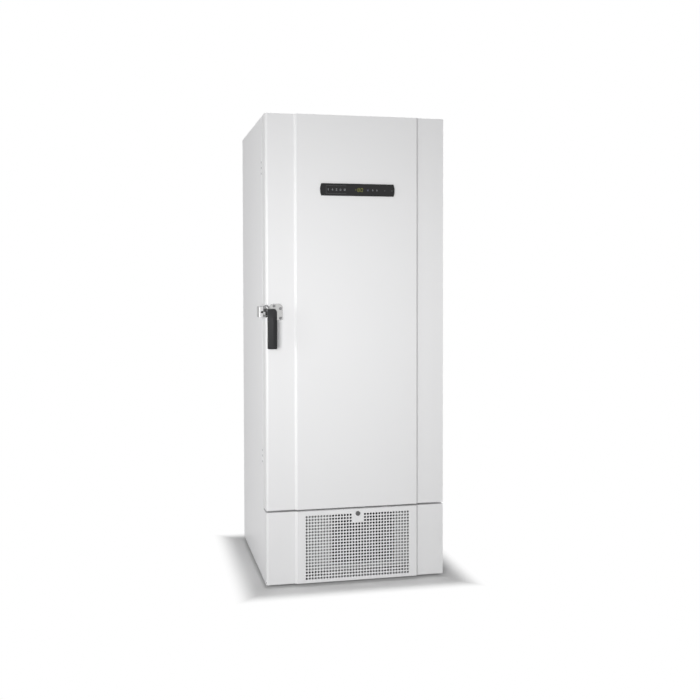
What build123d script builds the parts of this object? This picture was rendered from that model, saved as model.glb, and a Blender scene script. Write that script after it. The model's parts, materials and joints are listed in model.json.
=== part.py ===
from build123d import *
import os
from math import cos, radians, sin

os.makedirs("parts", exist_ok=True)

# Upright ultra low temperature freezer, in millimetres.
# The floor is z = 0, +Z is up, the front faces -Y and +X is the viewer's right.

# Cabinet
cabinet_width = 770
cabinet_height = 1962  # bottom edge to top
cabinet_depth = 807  # door face to back
floor_gap = 14  # floor to the cabinet's bottom edge
skin = 1.2  # painted steel sheet
wall = 85  # insulated wall, skin to liner
liner_sheet = 1.2
breaker_depth = 12
seam = 0.2  # joint between sheets of one folded shell
deck_height = 330  # floor to the underside of the insulated box

# Front sheets of the door and the service panel
latch_edge_radius = 12
hinge_edge_radius = 2
proud = 8  # centre panel stands this far off the side strips
latch_strip_width = 121.5  # plain strip beside the centre panel
hinge_strip_width = 111.5
bevel_width = 10
base_panel_height = 304
door_gap = 8  # between service panel and door
panel_return = 26
panel_gap = 2.5  # between service panel and cabinet side
panel_sheet = 1.5

# Door
door_thickness = 84
gasket_gap = 8
gasket_clearance = 0.3
gasket_width = 26
gasket_inset = 22
door_liner_sheet = 3
plug_depth = 16
plug_clearance = 8

# Main hinges, and the plugged holes for them on the other side
hinge_offset = 16  # pin centre to cabinet side
knuckle_radius = 12
hinge_pin_radius = 5
running_clearance = 0.05
leaf_sheet = 4
leaf_width = 34
cabinet_knuckle_height = 72
door_knuckle_height = 25.5
knuckle_gap = 0.5
lower_hinge_rise = 215  # above the door's bottom edge
upper_hinge_drop = 215  # below the top
hinge_hole_setback = 103
hinge_hole_spacing = 24
hinge_screw_radius = 4.5
hinge_screw_head = 3
hinge_plug_radius = 4.5
hinge_plug_head = 1.5

# Latch: lever on the door, keeper on the cabinet side
lever_width = 38
lever_length = 164
lever_thickness = 22
lever_standoff = 34  # door face to the back of the grip
lever_edge_setback = 3.5  # from the door's edge
lever_top = 1169
lever_corner_radius = 13
lever_edge_radius = 3
lever_pin_drop = 19  # below the lever's top
lever_pin_standoff = 26
lever_pin_radius = 3
lever_boss_radius = 7
latch_plate_width = 56
latch_plate_height = 69
latch_plate_setback = 16
latch_plate_bottom = 1121
latch_plate_sheet = 3
latch_plate_corner = 17
latch_plate_foot_corner = 5
latch_tab_setback = 1  # from the door's edge
latch_tab_drop = 16  # below the pin
latch_tab_rise = 22  # above the pin
latch_tab_screw_drop = 9  # below the pin
latch_tab_screw_radius = 4
latch_screw_radius = 6
latch_screw_head = 3
latch_screw_margin = 9
ear_sheet = 4
latch_bolt_thickness = 8
latch_bolt_height = 12
latch_bolt_gap = 0.5
latch_bolt_reach = 10  # past the door's edge
latch_bolt_head_width = 25
latch_bolt_head_rise = 35  # above the pin
latch_bolt_arch_width = 5
keeper_height = 43
keeper_depth = 58
keeper_hole_radius = 4
keeper_hole_wall = 1
keeper_rise = 6.5  # above the lever's pin
keeper_door_gap = 1
keeper_foot = 50

# Control panel
control_width = 310
control_height = 51
control_bulge = 5  # each end bows out
control_thickness = 6
control_rim = 4
control_window_sheet = 2
window_clearance = 0.3
control_centre_height = 1665.5
board_width = 200
board_height = 40
board_sheet = 1.6
board_standoff = 8
board_standoff_radius = 3

# Perforations and lock of the service panel
perforation_radius = 4.7
perforation_pitch_x = 12.6
perforation_pitch_z = 13.05
perforation_side_margin = 38  # from the bevel to the first column
perforation_rows = 21
perforation_first_row = 18.6  # above the panel's bottom edge
notch_columns = 4
notch_rows = 3
lock_height = 284  # above the panel's bottom edge
lock_head_radius = 10
lock_head = 3
lock_barrel_radius = 8
lock_barrel_length = 14
lock_cam_width = 10
lock_cam_length = 16
lock_cam_sheet = 2.5
key_slot_width = 2
key_slot_length = 9
panel_pivot_setback = 10
panel_pivot_rise = 8
panel_pivot_radius = 3
pivot_arm_sheet = 5
pivot_arm_height = 8
pivot_arm_side_gap = 4
pivot_flange_gap = 14

# Chamber
compartments = 4
inner_door_setback = 26
inner_door_thickness = 22
inner_door_side_gap = 4
inner_door_stack_gap = 6
inner_hinge_side_gap = 3
inner_pin_radius = 4
inner_pin_length = 10
inner_bracket_sheet = 4
inner_pull_width = 18
inner_pull_height = 110
inner_pull_reach = 9
inner_pull_setback = 30
shelf_sheet = 1.5
shelf_lip = 20
shelf_front_gap = 4
shelf_back_gap = 10
shelf_side_gap = 2
upright_depth = 10
upright_width = 25
upright_end_gap = 20
upright_setback = 60
clip_reach = 14
clip_width = 20
clip_height = 12
coil_radius = 4
coil_bend = 12
coil_standoff = 7  # tube centre to liner
coil_clearance = 0.3
coil_runs = 8
coil_end_gap = 60
probe_radius = 3
probe_length = 60
probe_drop = 60
port_radius = 12.5
port_sleeve = 3.5
port_flange_radius = 24
port_flange = 4
port_fit = 0.2
port_height = 1345
port_setback = 235  # from the hinge side

# Machine compartment
base_pan_sheet = 3
base_pan_height = 66
base_pan_flange = 14
base_pan_setback = 40
base_back_gap = 4
rail_sheet = 3
baffle_sheet = 1.5
baffle_setback = 46
baffle_depth = 60
duct_left_setback = 284  # from the cabinet sides
duct_right_setback = 205
condenser_setback = 48
condenser_depth = 45
condenser_height = 215
shroud_depth = 36
shroud_sheet = 2
fan_radius = 92
fan_opening_radius = 100
fan_hub_radius = 26
fan_hub_length = 22
fan_blades_count = 5
blade_chord = 46
blade_sheet = 3
blade_pitch = 28
fan_shaft_radius = 4
motor_radius = 42
motor_length = 60
motor_gap = 6
strut_width = 12
strut_sheet = 4
strut_angles = (30, 150, 270)
compressor_radius = 84
compressor_height = 195
compressor_dome = 40
compressor_foot = 150
compressor_plate = 4
compressor_spread = 170  # each side of the middle
compressor_setback = 230  # from the back
mount_radius = 14
mount_height = 16
mount_spacing = 110
exchanger_width = 110
exchanger_depth = 190
exchanger_height = 170
exchanger_corner = 15
drier_radius = 14
drier_length = 130
drier_spacing = 45
pipe_radius = 5
pipe_bend = 12
pipe_height = 300  # above the floor
header_spread = 100  # each side of the fan
electrical_box_width = 84
electrical_box_depth = 210
electrical_box_height = 200
electrical_box_corner = 4
rear_cover_bottom = 40
rear_slot_length = 90
rear_slot_width = 8
rear_slot_pitch_x = 120
rear_slot_pitch_z = 20
rear_slot_columns = 4
rear_slot_rows = 9
rear_slot_centre = 215
inlet_setback = 95  # from the hinge side
inlet_z = 84  # above the floor
inlet_width = 92
inlet_height = 30
inlet_depth = 36
inlet_socket_offset = 24
inlet_socket_width = 34
inlet_socket_height = 20
inlet_socket_depth = 20
inlet_pin_width = 2
inlet_pin_height = 7
inlet_pin_spacing = 10
inlet_pin_sink = 4
rocker_width = 24
rocker_clearance = 0.4
rocker_pocket = 10.5  # half the pocket's height
rocker_pivot_depth = 8
rocker_rise = 9
rocker_back = 4
rocker_tip = 5
rocker_valley = 3
rocker_tilt = 10  # pressed in at the top
rocker_pin_radius = 1.5
rocker_pin_length = 2

# Feet and rollers
support_inset = 60  # from the cabinet sides
foot_setback = 85
foot_pad_radius = 22
foot_pad_height = 10
foot_pad_edge = 3
foot_stud_radius = 6
foot_stud_top = 88
roller_setback = 70  # from the back
roller_radius = 25
roller_width = 30
roller_axle_radius = 5
roller_cheek_sheet = 4
roller_cheek_gap = 1
roller_cheek_width = 30
roller_edge = 2

# Places that follow from the sizes above
lever_reach = lever_standoff + lever_thickness
left = -cabinet_width / 2
right = cabinet_width / 2
front = -(cabinet_depth - lever_reach) / 2
back = front + cabinet_depth
bottom = floor_gap
top = bottom + cabinet_height
front_centre = (latch_strip_width - hinge_strip_width) / 2
centre_panel_width = cabinet_width - latch_strip_width - hinge_strip_width - 2 * bevel_width
panel_face = front - proud
base_top = bottom + base_panel_height
door_bottom = base_top + door_gap
door_back = front + door_thickness
shell_front = door_back + gasket_gap
base_front = front + panel_return + panel_gap
liner_front = shell_front + breaker_depth
interior_back = back - wall
interior_half = cabinet_width / 2 - wall
interior_floor = deck_height + wall
interior_top = top - wall
compartment_pitch = (interior_top - interior_floor) / compartments
side_in = cabinet_width / 2 - skin
base_pan_top = base_pan_height + base_pan_sheet
hinge_x = right + hinge_offset
hinge_y = door_back + gasket_gap / 2
hinge_heights = (door_bottom + lower_hinge_rise, top - upper_hinge_drop)
hinge_reach = hinge_offset + knuckle_radius
lever_left = left + lever_edge_setback
lever_middle = lever_left + lever_width / 2
lever_pin_y = front - lever_pin_standoff
lever_pin_z = lever_top - lever_pin_drop
plate_left = left + latch_plate_setback
plate_right = plate_left + latch_plate_width
plate_top = latch_plate_bottom + latch_plate_height
plate_face = front - latch_plate_sheet
bolt_back = plate_face - latch_bolt_gap
bolt_front = bolt_back - latch_bolt_thickness
inner_hinge_x = interior_half - inner_hinge_side_gap - inner_door_thickness / 2
inner_hinge_y = shell_front + inner_door_setback + inner_door_thickness / 2
shelf_front = shell_front + inner_door_setback + inner_door_thickness + shelf_front_gap
duct_left = left + duct_left_setback
duct_right = right - duct_right_setback
duct_middle = (duct_left + duct_right) / 2
condenser_front = front + condenser_setback
condenser_back = condenser_front + condenser_depth
shroud_back = condenser_back + shroud_depth
condenser_top = base_pan_top + condenser_height
fan_z = base_pan_top + condenser_height / 2
fan_y = condenser_back + shroud_depth / 2
compressor_y = back - compressor_setback
compressor_floor = base_pan_top + mount_height
compressor_top = compressor_floor + compressor_plate + compressor_height
support_x = cabinet_width / 2 - support_inset
roller_y = back - roller_setback


def write(piece, name):
    """Label a finished piece and write it to its own file."""
    piece.part.label = name
    export_step(piece.part, f"parts/{name}.step")


def block(x, y, z, mode=Mode.ADD):
    """Box between the two ends of each range."""
    spans = (x, y, z)
    with Locations(tuple((low + high) / 2 for low, high in spans)):
        Box(*(high - low for low, high in spans), mode=mode)


def rod(start, end, radius, mode=Mode.ADD):
    """Round rod from one point to another."""
    run = Vector(*end) - Vector(*start)
    with Locations(Plane(origin=start, z_dir=run)):
        Cylinder(radius, run.length, align=(Align.CENTER, Align.CENTER, Align.MIN), mode=mode)


def facing_front(x, y, z):
    """Plane that looks out of the front, with its own y pointing up."""
    return Plane(origin=(x, y, z), x_dir=(1, 0, 0), z_dir=(0, -1, 0))


def front_outline(inset, depth):
    """Outline of a folded front sheet seen from above: side strips, bevels and a proud centre."""
    strip = front + inset
    half = centre_panel_width / 2
    with BuildLine() as outline:
        Polyline(
            (left + inset, front + depth),
            (left + inset, strip),
            (front_centre - half - bevel_width, strip),
            (front_centre - half, strip - proud),
            (front_centre + half, strip - proud),
            (front_centre + half + bevel_width, strip),
            (right - inset, strip),
            (right - inset, front + depth),
            close=True,
        )
    return outline.edges()


def front_sketch(inset, depth):
    """Face inside the front outline, rounded at the latch edge and eased at the hinge edge."""
    with BuildSketch() as profile:
        make_face(front_outline(inset, depth))
        corners = profile.vertices().filter_by(lambda v: abs(v.Y - front - inset) < seam)
        fillet(corners.sort_by(Axis.X)[0], latch_edge_radius - inset)
        if hinge_edge_radius > inset:
            fillet(corners.sort_by(Axis.X)[-1], hinge_edge_radius - inset)
    return profile.sketch


def control_outline(inset):
    """Face of the control panel with its two ends bowed outwards."""
    half = control_width / 2 - inset
    rise = control_height / 2 - inset
    with BuildSketch() as outline:
        with BuildLine():
            Line((-half, rise), (half, rise))
            ThreePointArc((half, rise), (half + control_bulge, 0), (half, -rise))
            Line((half, -rise), (-half, -rise))
            ThreePointArc((-half, -rise), (-half - control_bulge, 0), (-half, rise))
        make_face()
    return outline.sketch


# Cabinet shell
for name, outer, inward in (("side_panel_left", left, 1), ("side_panel_right", right, -1)):
    with BuildPart() as side_panel:
        with BuildSketch(Plane.YZ.offset(outer)):
            with BuildLine():
                Polyline(
                    (base_front, bottom),
                    (base_front, base_top),
                    (shell_front, base_top),
                    (shell_front, top),
                    (back, top),
                    (back, bottom),
                    close=True,
                )
            make_face()
        extrude(amount=inward * skin)
    write(side_panel, name)

with BuildPart() as top_panel:
    block((-side_in, side_in), (shell_front, back), (top - skin, top))
write(top_panel, "top_panel")

port_x = right - port_setback
port_hole_radius = port_radius + port_sleeve + port_fit
port_start = (port_x, interior_back - port_flange, port_height)
port_inner = (port_x, interior_back, port_height)
port_end = (port_x, back, port_height)

with BuildPart() as back_panel:
    block((-side_in, side_in), (back - skin, back), (deck_height, top - skin))
    rod(port_start, port_end, port_hole_radius, mode=Mode.SUBTRACT)
write(back_panel, "back_panel")

with BuildPart() as deck_panel:
    block((-side_in, side_in), (shell_front, back - skin), (deck_height, deck_height + skin))
write(deck_panel, "deck_panel")

frame_floor = deck_height + skin
frame_top = top - skin
with BuildPart() as breaker_frame:
    for side in (-1, 1):
        edges = sorted((side * interior_half, side * side_in))
        block(edges, (shell_front, liner_front), (frame_floor, frame_top))
    across = (seam - interior_half, interior_half - seam)
    block(across, (shell_front, liner_front), (frame_floor, interior_floor))
    block(across, (shell_front, liner_front), (interior_top, frame_top))
write(breaker_frame, "breaker_frame")

liner_half = interior_half + liner_sheet
coil_space = coil_standoff + coil_radius + coil_clearance
liner_back = interior_back + liner_sheet
with BuildPart() as cabinet_insulation:
    block((-side_in, side_in), (liner_front, back - skin), (frame_floor, frame_top))
    block(
        (-liner_half, liner_half),
        (liner_front, liner_back),
        (interior_floor - liner_sheet, interior_top + liner_sheet),
        mode=Mode.SUBTRACT,
    )
    block(
        (-liner_half - coil_space, liner_half + coil_space),
        (liner_front + coil_end_gap / 2, liner_back + coil_space),
        (interior_floor + coil_end_gap / 2, interior_top - coil_end_gap / 2),
        mode=Mode.SUBTRACT,
    )
    rod(port_inner, port_end, port_hole_radius, mode=Mode.SUBTRACT)
write(cabinet_insulation, "cabinet_insulation")

with BuildPart() as inner_liner:
    for side in (-1, 1):
        edges = sorted((side * interior_half, side * liner_half))
        block(edges, (liner_front, interior_back), (interior_floor, interior_top))
    span = (-interior_half + seam, interior_half - seam)
    block(span, (interior_back, liner_back), (interior_floor, interior_top))
    rod(port_start, port_end, port_hole_radius, mode=Mode.SUBTRACT)
    floor_sheet = (interior_floor - liner_sheet, interior_floor - seam)
    ceiling_sheet = (interior_top + seam, interior_top + liner_sheet)
    for sheet in (floor_sheet, ceiling_sheet):
        block((-liner_half, liner_half), (liner_front, liner_back), sheet)
write(inner_liner, "inner_liner")

# Evaporator tube, wound to and fro around the outside of the liner
coil_half = liner_half + coil_standoff
coil_front = liner_front + coil_end_gap
coil_rear = liner_back + coil_standoff
coil_low = interior_floor + coil_end_gap
coil_step = (interior_top - interior_floor - 2 * coil_end_gap) / (coil_runs - 1)
coil_points = []
for run in range(coil_runs):
    level = coil_low + run * coil_step
    side = -1 if run % 2 == 0 else 1
    coil_points.append((side * coil_half, coil_front, level))
    coil_points.append((side * coil_half, coil_rear, level))
    coil_points.append((-side * coil_half, coil_rear, level))
    coil_points.append((-side * coil_half, coil_front, level))
with BuildPart() as evaporator_coil:
    with BuildLine():
        coil_path = FilletPolyline(*coil_points, radius=coil_bend)
    with BuildSketch(Plane(origin=coil_path @ 0, z_dir=coil_path % 0)):
        Circle(coil_radius)
    sweep(path=coil_path)
write(evaporator_coil, "evaporator_coil")

# Inside the chamber
shelf_half = interior_half - upright_depth - shelf_side_gap
shelf_back = interior_back - shelf_back_gap
shelf_levels = [interior_floor + level * compartment_pitch for level in range(1, compartments)]
with BuildPart() as shelves:
    for level in shelf_levels:
        block((-shelf_half, shelf_half), (shelf_front, shelf_back), (level - shelf_sheet, level))
        for lip in (shelf_front, shelf_back - shelf_sheet):
            block((-shelf_half, shelf_half), (lip, lip + shelf_sheet), (level - shelf_lip, level))
write(shelves, "shelves")

upright_rows = (shelf_front + upright_setback, shelf_back - upright_setback)
upright_span = (interior_floor + upright_end_gap, interior_top - upright_end_gap)
with BuildPart() as shelf_uprights:
    for side in (-1, 1):
        edges = sorted((side * interior_half, side * (interior_half - upright_depth)))
        for row in upright_rows:
            block(edges, (row - upright_width / 2, row + upright_width / 2), upright_span)
write(shelf_uprights, "shelf_uprights")

with BuildPart() as shelf_clips:
    for side in (-1, 1):
        face = interior_half - upright_depth
        edges = sorted((side * face, side * (face - clip_reach)))
        for row in upright_rows:
            for level in shelf_levels:
                seat = level - shelf_sheet
                width = (row - clip_width / 2, row + clip_width / 2)
                block(edges, width, (seat - clip_height, seat))
write(shelf_clips, "shelf_clips")

with BuildPart() as temperature_probe:
    probe_z = interior_top - probe_drop
    rod((0, interior_back - probe_length, probe_z), (0, interior_back, probe_z), probe_radius)
write(temperature_probe, "temperature_probe")

with BuildPart() as access_port:
    rod(port_start, port_end, port_radius + port_sleeve)
    rod(port_start, port_inner, port_flange_radius)
    rod(port_start, port_end, port_radius, mode=Mode.SUBTRACT)
write(access_port, "access_port")

half_bracket = inner_bracket_sheet / 2
pin_reach = half_bracket + inner_pin_length
pivot_half = inner_door_thickness / 2
with BuildPart() as inner_hinge_brackets:
    for level in range(compartments + 1):
        height = interior_floor + level * compartment_pitch
        low = max(height - pin_reach, interior_floor)
        high = min(height + pin_reach, interior_top)
        sheet = (max(height - half_bracket, interior_floor), min(height + half_bracket, interior_top))
        depth = (inner_hinge_y - pivot_half, inner_hinge_y + pivot_half)
        block((inner_hinge_x - pivot_half, interior_half), depth, sheet)
        rod((inner_hinge_x, inner_hinge_y, low), (inner_hinge_x, inner_hinge_y, high), inner_pin_radius)
write(inner_hinge_brackets, "inner_hinge_brackets")

inner_left = -interior_half + inner_door_side_gap
inner_face = inner_hinge_y - pivot_half
pull_left = inner_left + inner_pull_setback
for number in range(1, compartments + 1):
    low = interior_floor + (number - 1) * compartment_pitch + inner_door_stack_gap / 2
    high = interior_floor + number * compartment_pitch - inner_door_stack_gap / 2
    middle = (low + high) / 2
    with BuildPart() as inner_door:
        block((inner_left, inner_hinge_x), (inner_face, inner_face + inner_door_thickness), (low, high))
        rod((inner_hinge_x, inner_hinge_y, low), (inner_hinge_x, inner_hinge_y, high), pivot_half)
        block(
            (pull_left, pull_left + inner_pull_width),
            (inner_face - inner_pull_reach, inner_face),
            (middle - inner_pull_height / 2, middle + inner_pull_height / 2),
        )
        for end, into in ((low, 1), (high, -1)):
            mouth = (inner_hinge_x, inner_hinge_y, end)
            bed = (inner_hinge_x, inner_hinge_y, end + into * pin_reach)
            rod(mouth, bed, inner_pin_radius + running_clearance, mode=Mode.SUBTRACT)
    write(inner_door, f"inner_door_{number}")

# Door
with BuildPart() as door_skin:
    with BuildSketch(Plane.XY.offset(door_bottom)):
        add(front_sketch(0, door_thickness - door_liner_sheet))
    extrude(amount=top - door_bottom)
    with BuildSketch(Plane.XY.offset(door_bottom + skin)):
        add(front_sketch(skin, door_thickness))
    extrude(amount=top - door_bottom - 2 * skin, mode=Mode.SUBTRACT)
write(door_skin, "door_skin")

board_face = panel_face + skin + board_standoff
plug_half = interior_half - plug_clearance
plug_low = interior_floor + plug_clearance
plug_high = interior_top - plug_clearance
plug_back = door_back + plug_depth
with BuildPart() as door_insulation:
    with BuildSketch(Plane.XY.offset(door_bottom + skin)):
        add(front_sketch(skin, door_thickness - door_liner_sheet))
    extrude(amount=top - door_bottom - 2 * skin)
    block(
        (front_centre - board_width / 2 - board_standoff, front_centre + board_width / 2 + board_standoff),
        (panel_face, board_face + 2 * board_standoff),
        (control_centre_height - board_height, control_centre_height + board_height),
        mode=Mode.SUBTRACT,
    )
    block(
        (door_liner_sheet - plug_half, plug_half - door_liner_sheet),
        (door_back - door_liner_sheet, plug_back - door_liner_sheet),
        (plug_low + door_liner_sheet, plug_high - door_liner_sheet),
    )
write(door_insulation, "door_insulation")

with BuildPart() as door_liner:
    block((left, right), (door_back - door_liner_sheet, door_back), (door_bottom, top))
    block((-plug_half, plug_half), (door_back, plug_back), (plug_low, plug_high))
    block(
        (door_liner_sheet - plug_half, plug_half - door_liner_sheet),
        (door_back - door_liner_sheet, plug_back - door_liner_sheet),
        (plug_low + door_liner_sheet, plug_high - door_liner_sheet),
        mode=Mode.SUBTRACT,
    )
write(door_liner, "door_liner")

gasket_outer = cabinet_width / 2 - gasket_inset
gasket_inner = gasket_outer - gasket_width
gasket_low = door_bottom + gasket_inset
gasket_high = top - gasket_inset
gasket_span = (door_back, shell_front - gasket_clearance)
with BuildPart() as door_gasket:
    for side in (-1, 1):
        edges = sorted((side * gasket_inner, side * gasket_outer))
        block(edges, gasket_span, (gasket_low, gasket_high))
    across = (seam - gasket_inner, gasket_inner - seam)
    block(across, gasket_span, (gasket_low, gasket_low + gasket_width))
    block(across, gasket_span, (gasket_high - gasket_width, gasket_high))
write(door_gasket, "door_gasket")

# Main hinges
bore_radius = hinge_pin_radius + running_clearance
half_knuckle = cabinet_knuckle_height / 2
door_knuckle_base = half_knuckle + knuckle_gap
door_knuckle_end = door_knuckle_base + door_knuckle_height
leaf_face = right + leaf_sheet
knuckle_web = hinge_x - leaf_sheet
with BuildPart() as hinge_leaves:
    for middle in hinge_heights:
        heights = (middle - half_knuckle, middle + half_knuckle)
        block((right, leaf_face), (hinge_y, shell_front + leaf_width), heights)
        block((right, knuckle_web), (hinge_y, hinge_y + knuckle_radius - leaf_sheet), heights)
        ends = [(hinge_x, hinge_y, height) for height in heights]
        rod(*ends, knuckle_radius)
        rod(*ends, bore_radius, mode=Mode.SUBTRACT)
write(hinge_leaves, "hinge_leaves")

leaf_edge = hinge_y - knuckle_radius
with BuildPart() as door_hinge_leaves:
    for middle in hinge_heights:
        full = (middle - door_knuckle_end, middle + door_knuckle_end)
        block((right, leaf_face), (leaf_edge - leaf_width, leaf_edge + leaf_sheet), full)
        for low in (middle - door_knuckle_end, middle + door_knuckle_base):
            heights = (low, low + door_knuckle_height)
            block((right, knuckle_web), (leaf_edge - leaf_sheet, hinge_y), heights)
            ends = [(hinge_x, hinge_y, height) for height in heights]
            rod(*ends, knuckle_radius)
            rod(*ends, bore_radius, mode=Mode.SUBTRACT)
write(door_hinge_leaves, "door_hinge_leaves")

with BuildPart() as hinge_pins:
    for middle in hinge_heights:
        low = (hinge_x, hinge_y, middle - door_knuckle_end)
        seat = (hinge_x, hinge_y, middle + door_knuckle_end)
        cap = (hinge_x, hinge_y, middle + door_knuckle_end + leaf_sheet)
        rod(low, seat, hinge_pin_radius)
        rod(seat, cap, hinge_pin_radius + leaf_sheet)
write(hinge_pins, "hinge_pins")

screw_steps = (-hinge_hole_spacing, 0, hinge_hole_spacing)
screw_y = front + hinge_hole_setback
with BuildPart() as hinge_screws:
    for middle in hinge_heights:
        for step in screw_steps:
            seat = (leaf_face, screw_y, middle + step)
            rod(seat, (leaf_face + hinge_screw_head, screw_y, middle + step), hinge_screw_radius)
write(hinge_screws, "hinge_screws")

with BuildPart() as hinge_hole_plugs:
    for middle in hinge_heights:
        for step in screw_steps:
            seat = (left, screw_y, middle + step)
            rod(seat, (left - hinge_plug_head, screw_y, middle + step), hinge_plug_radius)
write(hinge_hole_plugs, "hinge_hole_plugs")

# Latch
plate_middle = (plate_left + plate_right) / 2
plate_centre = (latch_plate_bottom + plate_top) / 2
tab_left = left + latch_tab_setback
ear_places = (plate_left, lever_left + lever_width - 2 * ear_sheet)
boss_span = (ear_places[0] + ear_sheet + latch_bolt_gap, ear_places[1] - latch_bolt_gap)
pin_span = (ear_places[0], ear_places[1] + ear_sheet)
lever_bore_radius = lever_pin_radius + running_clearance
with BuildPart() as latch_plate:
    with BuildSketch(facing_front(plate_middle, front, plate_centre)):
        Rectangle(latch_plate_width, latch_plate_height)
    extrude(amount=latch_plate_sheet)
    uprights = latch_plate.edges().filter_by(Axis.Y)
    fillet(uprights.group_by(Axis.Z)[-1], latch_plate_corner)
    fillet(latch_plate.edges().filter_by(Axis.Y).group_by(Axis.Z)[0], latch_plate_foot_corner)
    block(
        (tab_left, plate_left + latch_screw_radius),
        (plate_face, front),
        (lever_pin_z - latch_tab_drop, lever_pin_z + latch_tab_rise),
    )
    for ear in ear_places:
        low = lever_pin_z - lever_boss_radius
        high = lever_pin_z + lever_boss_radius
        block((ear, ear + ear_sheet), (lever_pin_y, plate_face), (low, high))
        rod((ear, lever_pin_y, lever_pin_z), (ear + ear_sheet, lever_pin_y, lever_pin_z), lever_boss_radius)
    pin_ends = [(x, lever_pin_y, lever_pin_z) for x in pin_span]
    rod(*pin_ends, lever_bore_radius, mode=Mode.SUBTRACT)
write(latch_plate, "latch_plate")

with BuildPart() as latch_pin:
    rod(*pin_ends, lever_pin_radius)
write(latch_pin, "latch_pin")

plate_screws = (
    (plate_left + latch_plate_corner + latch_screw_radius / 2, plate_top - latch_screw_margin),
    (plate_right - latch_screw_margin, plate_top - latch_plate_corner - latch_screw_radius / 2),
    (plate_right - latch_screw_margin, latch_plate_bottom + latch_screw_margin),
    (plate_left + latch_screw_margin, latch_plate_bottom + latch_screw_margin),
)
with BuildPart() as latch_screws:
    for x, z in plate_screws:
        rod((x, plate_face, z), (x, plate_face - latch_screw_head, z), latch_screw_radius)
    tab_x = (tab_left + plate_left) / 2
    tab_z = lever_pin_z - latch_tab_screw_drop
    rod((tab_x, plate_face, tab_z), (tab_x, plate_face - latch_screw_head, tab_z), latch_tab_screw_radius)
write(latch_screws, "latch_screws")

lever_back = front - lever_standoff
lever_centre = lever_top - lever_length / 2
with BuildPart() as latch_lever:
    with BuildSketch(facing_front(lever_middle, lever_back, lever_centre)):
        Rectangle(lever_width, lever_length)
    extrude(amount=lever_thickness)
    upper_edges = latch_lever.edges().filter_by(Axis.Y).group_by(Axis.Z)[-1]
    fillet(upper_edges.sort_by(Axis.X)[-1], lever_corner_radius)
    fillet(latch_lever.faces().sort_by(Axis.Y)[0].edges(), lever_edge_radius)
    boss_heights = (lever_pin_z - lever_boss_radius, lever_pin_z + lever_boss_radius)
    block(boss_span, (lever_back, lever_pin_y), boss_heights)
    boss_ends = [(x, lever_pin_y, lever_pin_z) for x in boss_span]
    rod(*boss_ends, lever_boss_radius)
    rod(*boss_ends, lever_bore_radius, mode=Mode.SUBTRACT)
write(latch_lever, "latch_lever")

# The bolt slides along the plate, above the ears, and its arched head lies against the keeper
bar_low = lever_pin_z + lever_boss_radius + latch_bolt_gap
bar_right = lever_left + lever_width
head_left = left - latch_bolt_reach
head_right = head_left + latch_bolt_head_width
head_radius = latch_bolt_head_width / 2
arch_radius = head_radius - latch_bolt_arch_width
head_middle = (head_left + head_right) / 2
arch_centre = lever_pin_z + latch_bolt_head_rise - head_radius
with BuildPart() as latch_bolt:
    block((head_middle, bar_right), (bolt_front, bolt_back), (bar_low, bar_low + latch_bolt_height))
    block((head_left, head_right), (bolt_front, bolt_back), (bar_low, arch_centre))
    rod((head_middle, bolt_back, arch_centre), (head_middle, bolt_front, arch_centre), head_radius)
    rod(
        (head_middle, bolt_back, arch_centre),
        (head_middle, bolt_front, arch_centre),
        arch_radius,
        mode=Mode.SUBTRACT,
    )
    block(
        (head_middle - arch_radius, head_middle + arch_radius),
        (bolt_front, bolt_back),
        (bar_low + latch_bolt_height, arch_centre),
        mode=Mode.SUBTRACT,
    )
write(latch_bolt, "latch_bolt")

keeper_left = left - hinge_reach  # as far out as the hinges
keeper_right = left - keeper_door_gap
keeper_z = lever_pin_z + keeper_rise
keeper_low = keeper_z - keeper_height / 2
keeper_high = keeper_z + keeper_height / 2
keeper_step = head_left - latch_bolt_gap
keeper_front = bolt_front
keeper_hole_x = keeper_step - keeper_hole_wall - keeper_hole_radius
with BuildPart() as latch_keeper:
    block((keeper_left, keeper_right), (keeper_front, front + keeper_depth), (keeper_low, keeper_high))
    block(
        (keeper_step, keeper_right + seam),
        (keeper_front - seam, bolt_back + latch_bolt_gap),
        (keeper_low - seam, keeper_high + seam),
        mode=Mode.SUBTRACT,
    )
    outer_edges = latch_keeper.edges().filter_by(Axis.Z).group_by(Axis.X)[0]
    fillet(outer_edges, keeper_hole_radius)
    rod(
        (keeper_hole_x, keeper_front - seam, keeper_z),
        (keeper_hole_x, front + keeper_depth / 2, keeper_z),
        keeper_hole_radius,
        mode=Mode.SUBTRACT,
    )
    foot_back = shell_front + keeper_foot
    keeper_heights = (keeper_low, keeper_high)
    block((keeper_right - leaf_sheet, keeper_right), (front + keeper_depth, foot_back), keeper_heights)
    block((keeper_right - leaf_sheet, left), (shell_front + leaf_sheet, foot_back), keeper_heights)
write(latch_keeper, "latch_keeper")

# Control panel
control_plane = facing_front(front_centre, panel_face, control_centre_height)
with BuildPart() as control_housing:
    with BuildSketch(control_plane):
        add(control_outline(0))
    extrude(amount=control_thickness)
    with BuildSketch(control_plane.offset(control_thickness - control_window_sheet)):
        add(control_outline(control_rim - window_clearance))
    extrude(amount=control_window_sheet, mode=Mode.SUBTRACT)
write(control_housing, "control_housing")

with BuildPart() as control_window:
    with BuildSketch(control_plane.offset(control_thickness - control_window_sheet)):
        add(control_outline(control_rim))
    extrude(amount=control_window_sheet)
write(control_window, "control_window")

board_x = (front_centre - board_width / 2, front_centre + board_width / 2)
board_z = (control_centre_height - board_height / 2, control_centre_height + board_height / 2)
with BuildPart() as control_board:
    block(board_x, (board_face, board_face + board_sheet), board_z)
    for x in (board_x[0] + board_standoff, board_x[1] - board_standoff):
        for z in (board_z[0] + board_standoff, board_z[1] - board_standoff):
            rod((x, panel_face + skin, z), (x, board_face, z), board_standoff_radius)
write(control_board, "control_board")

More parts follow.
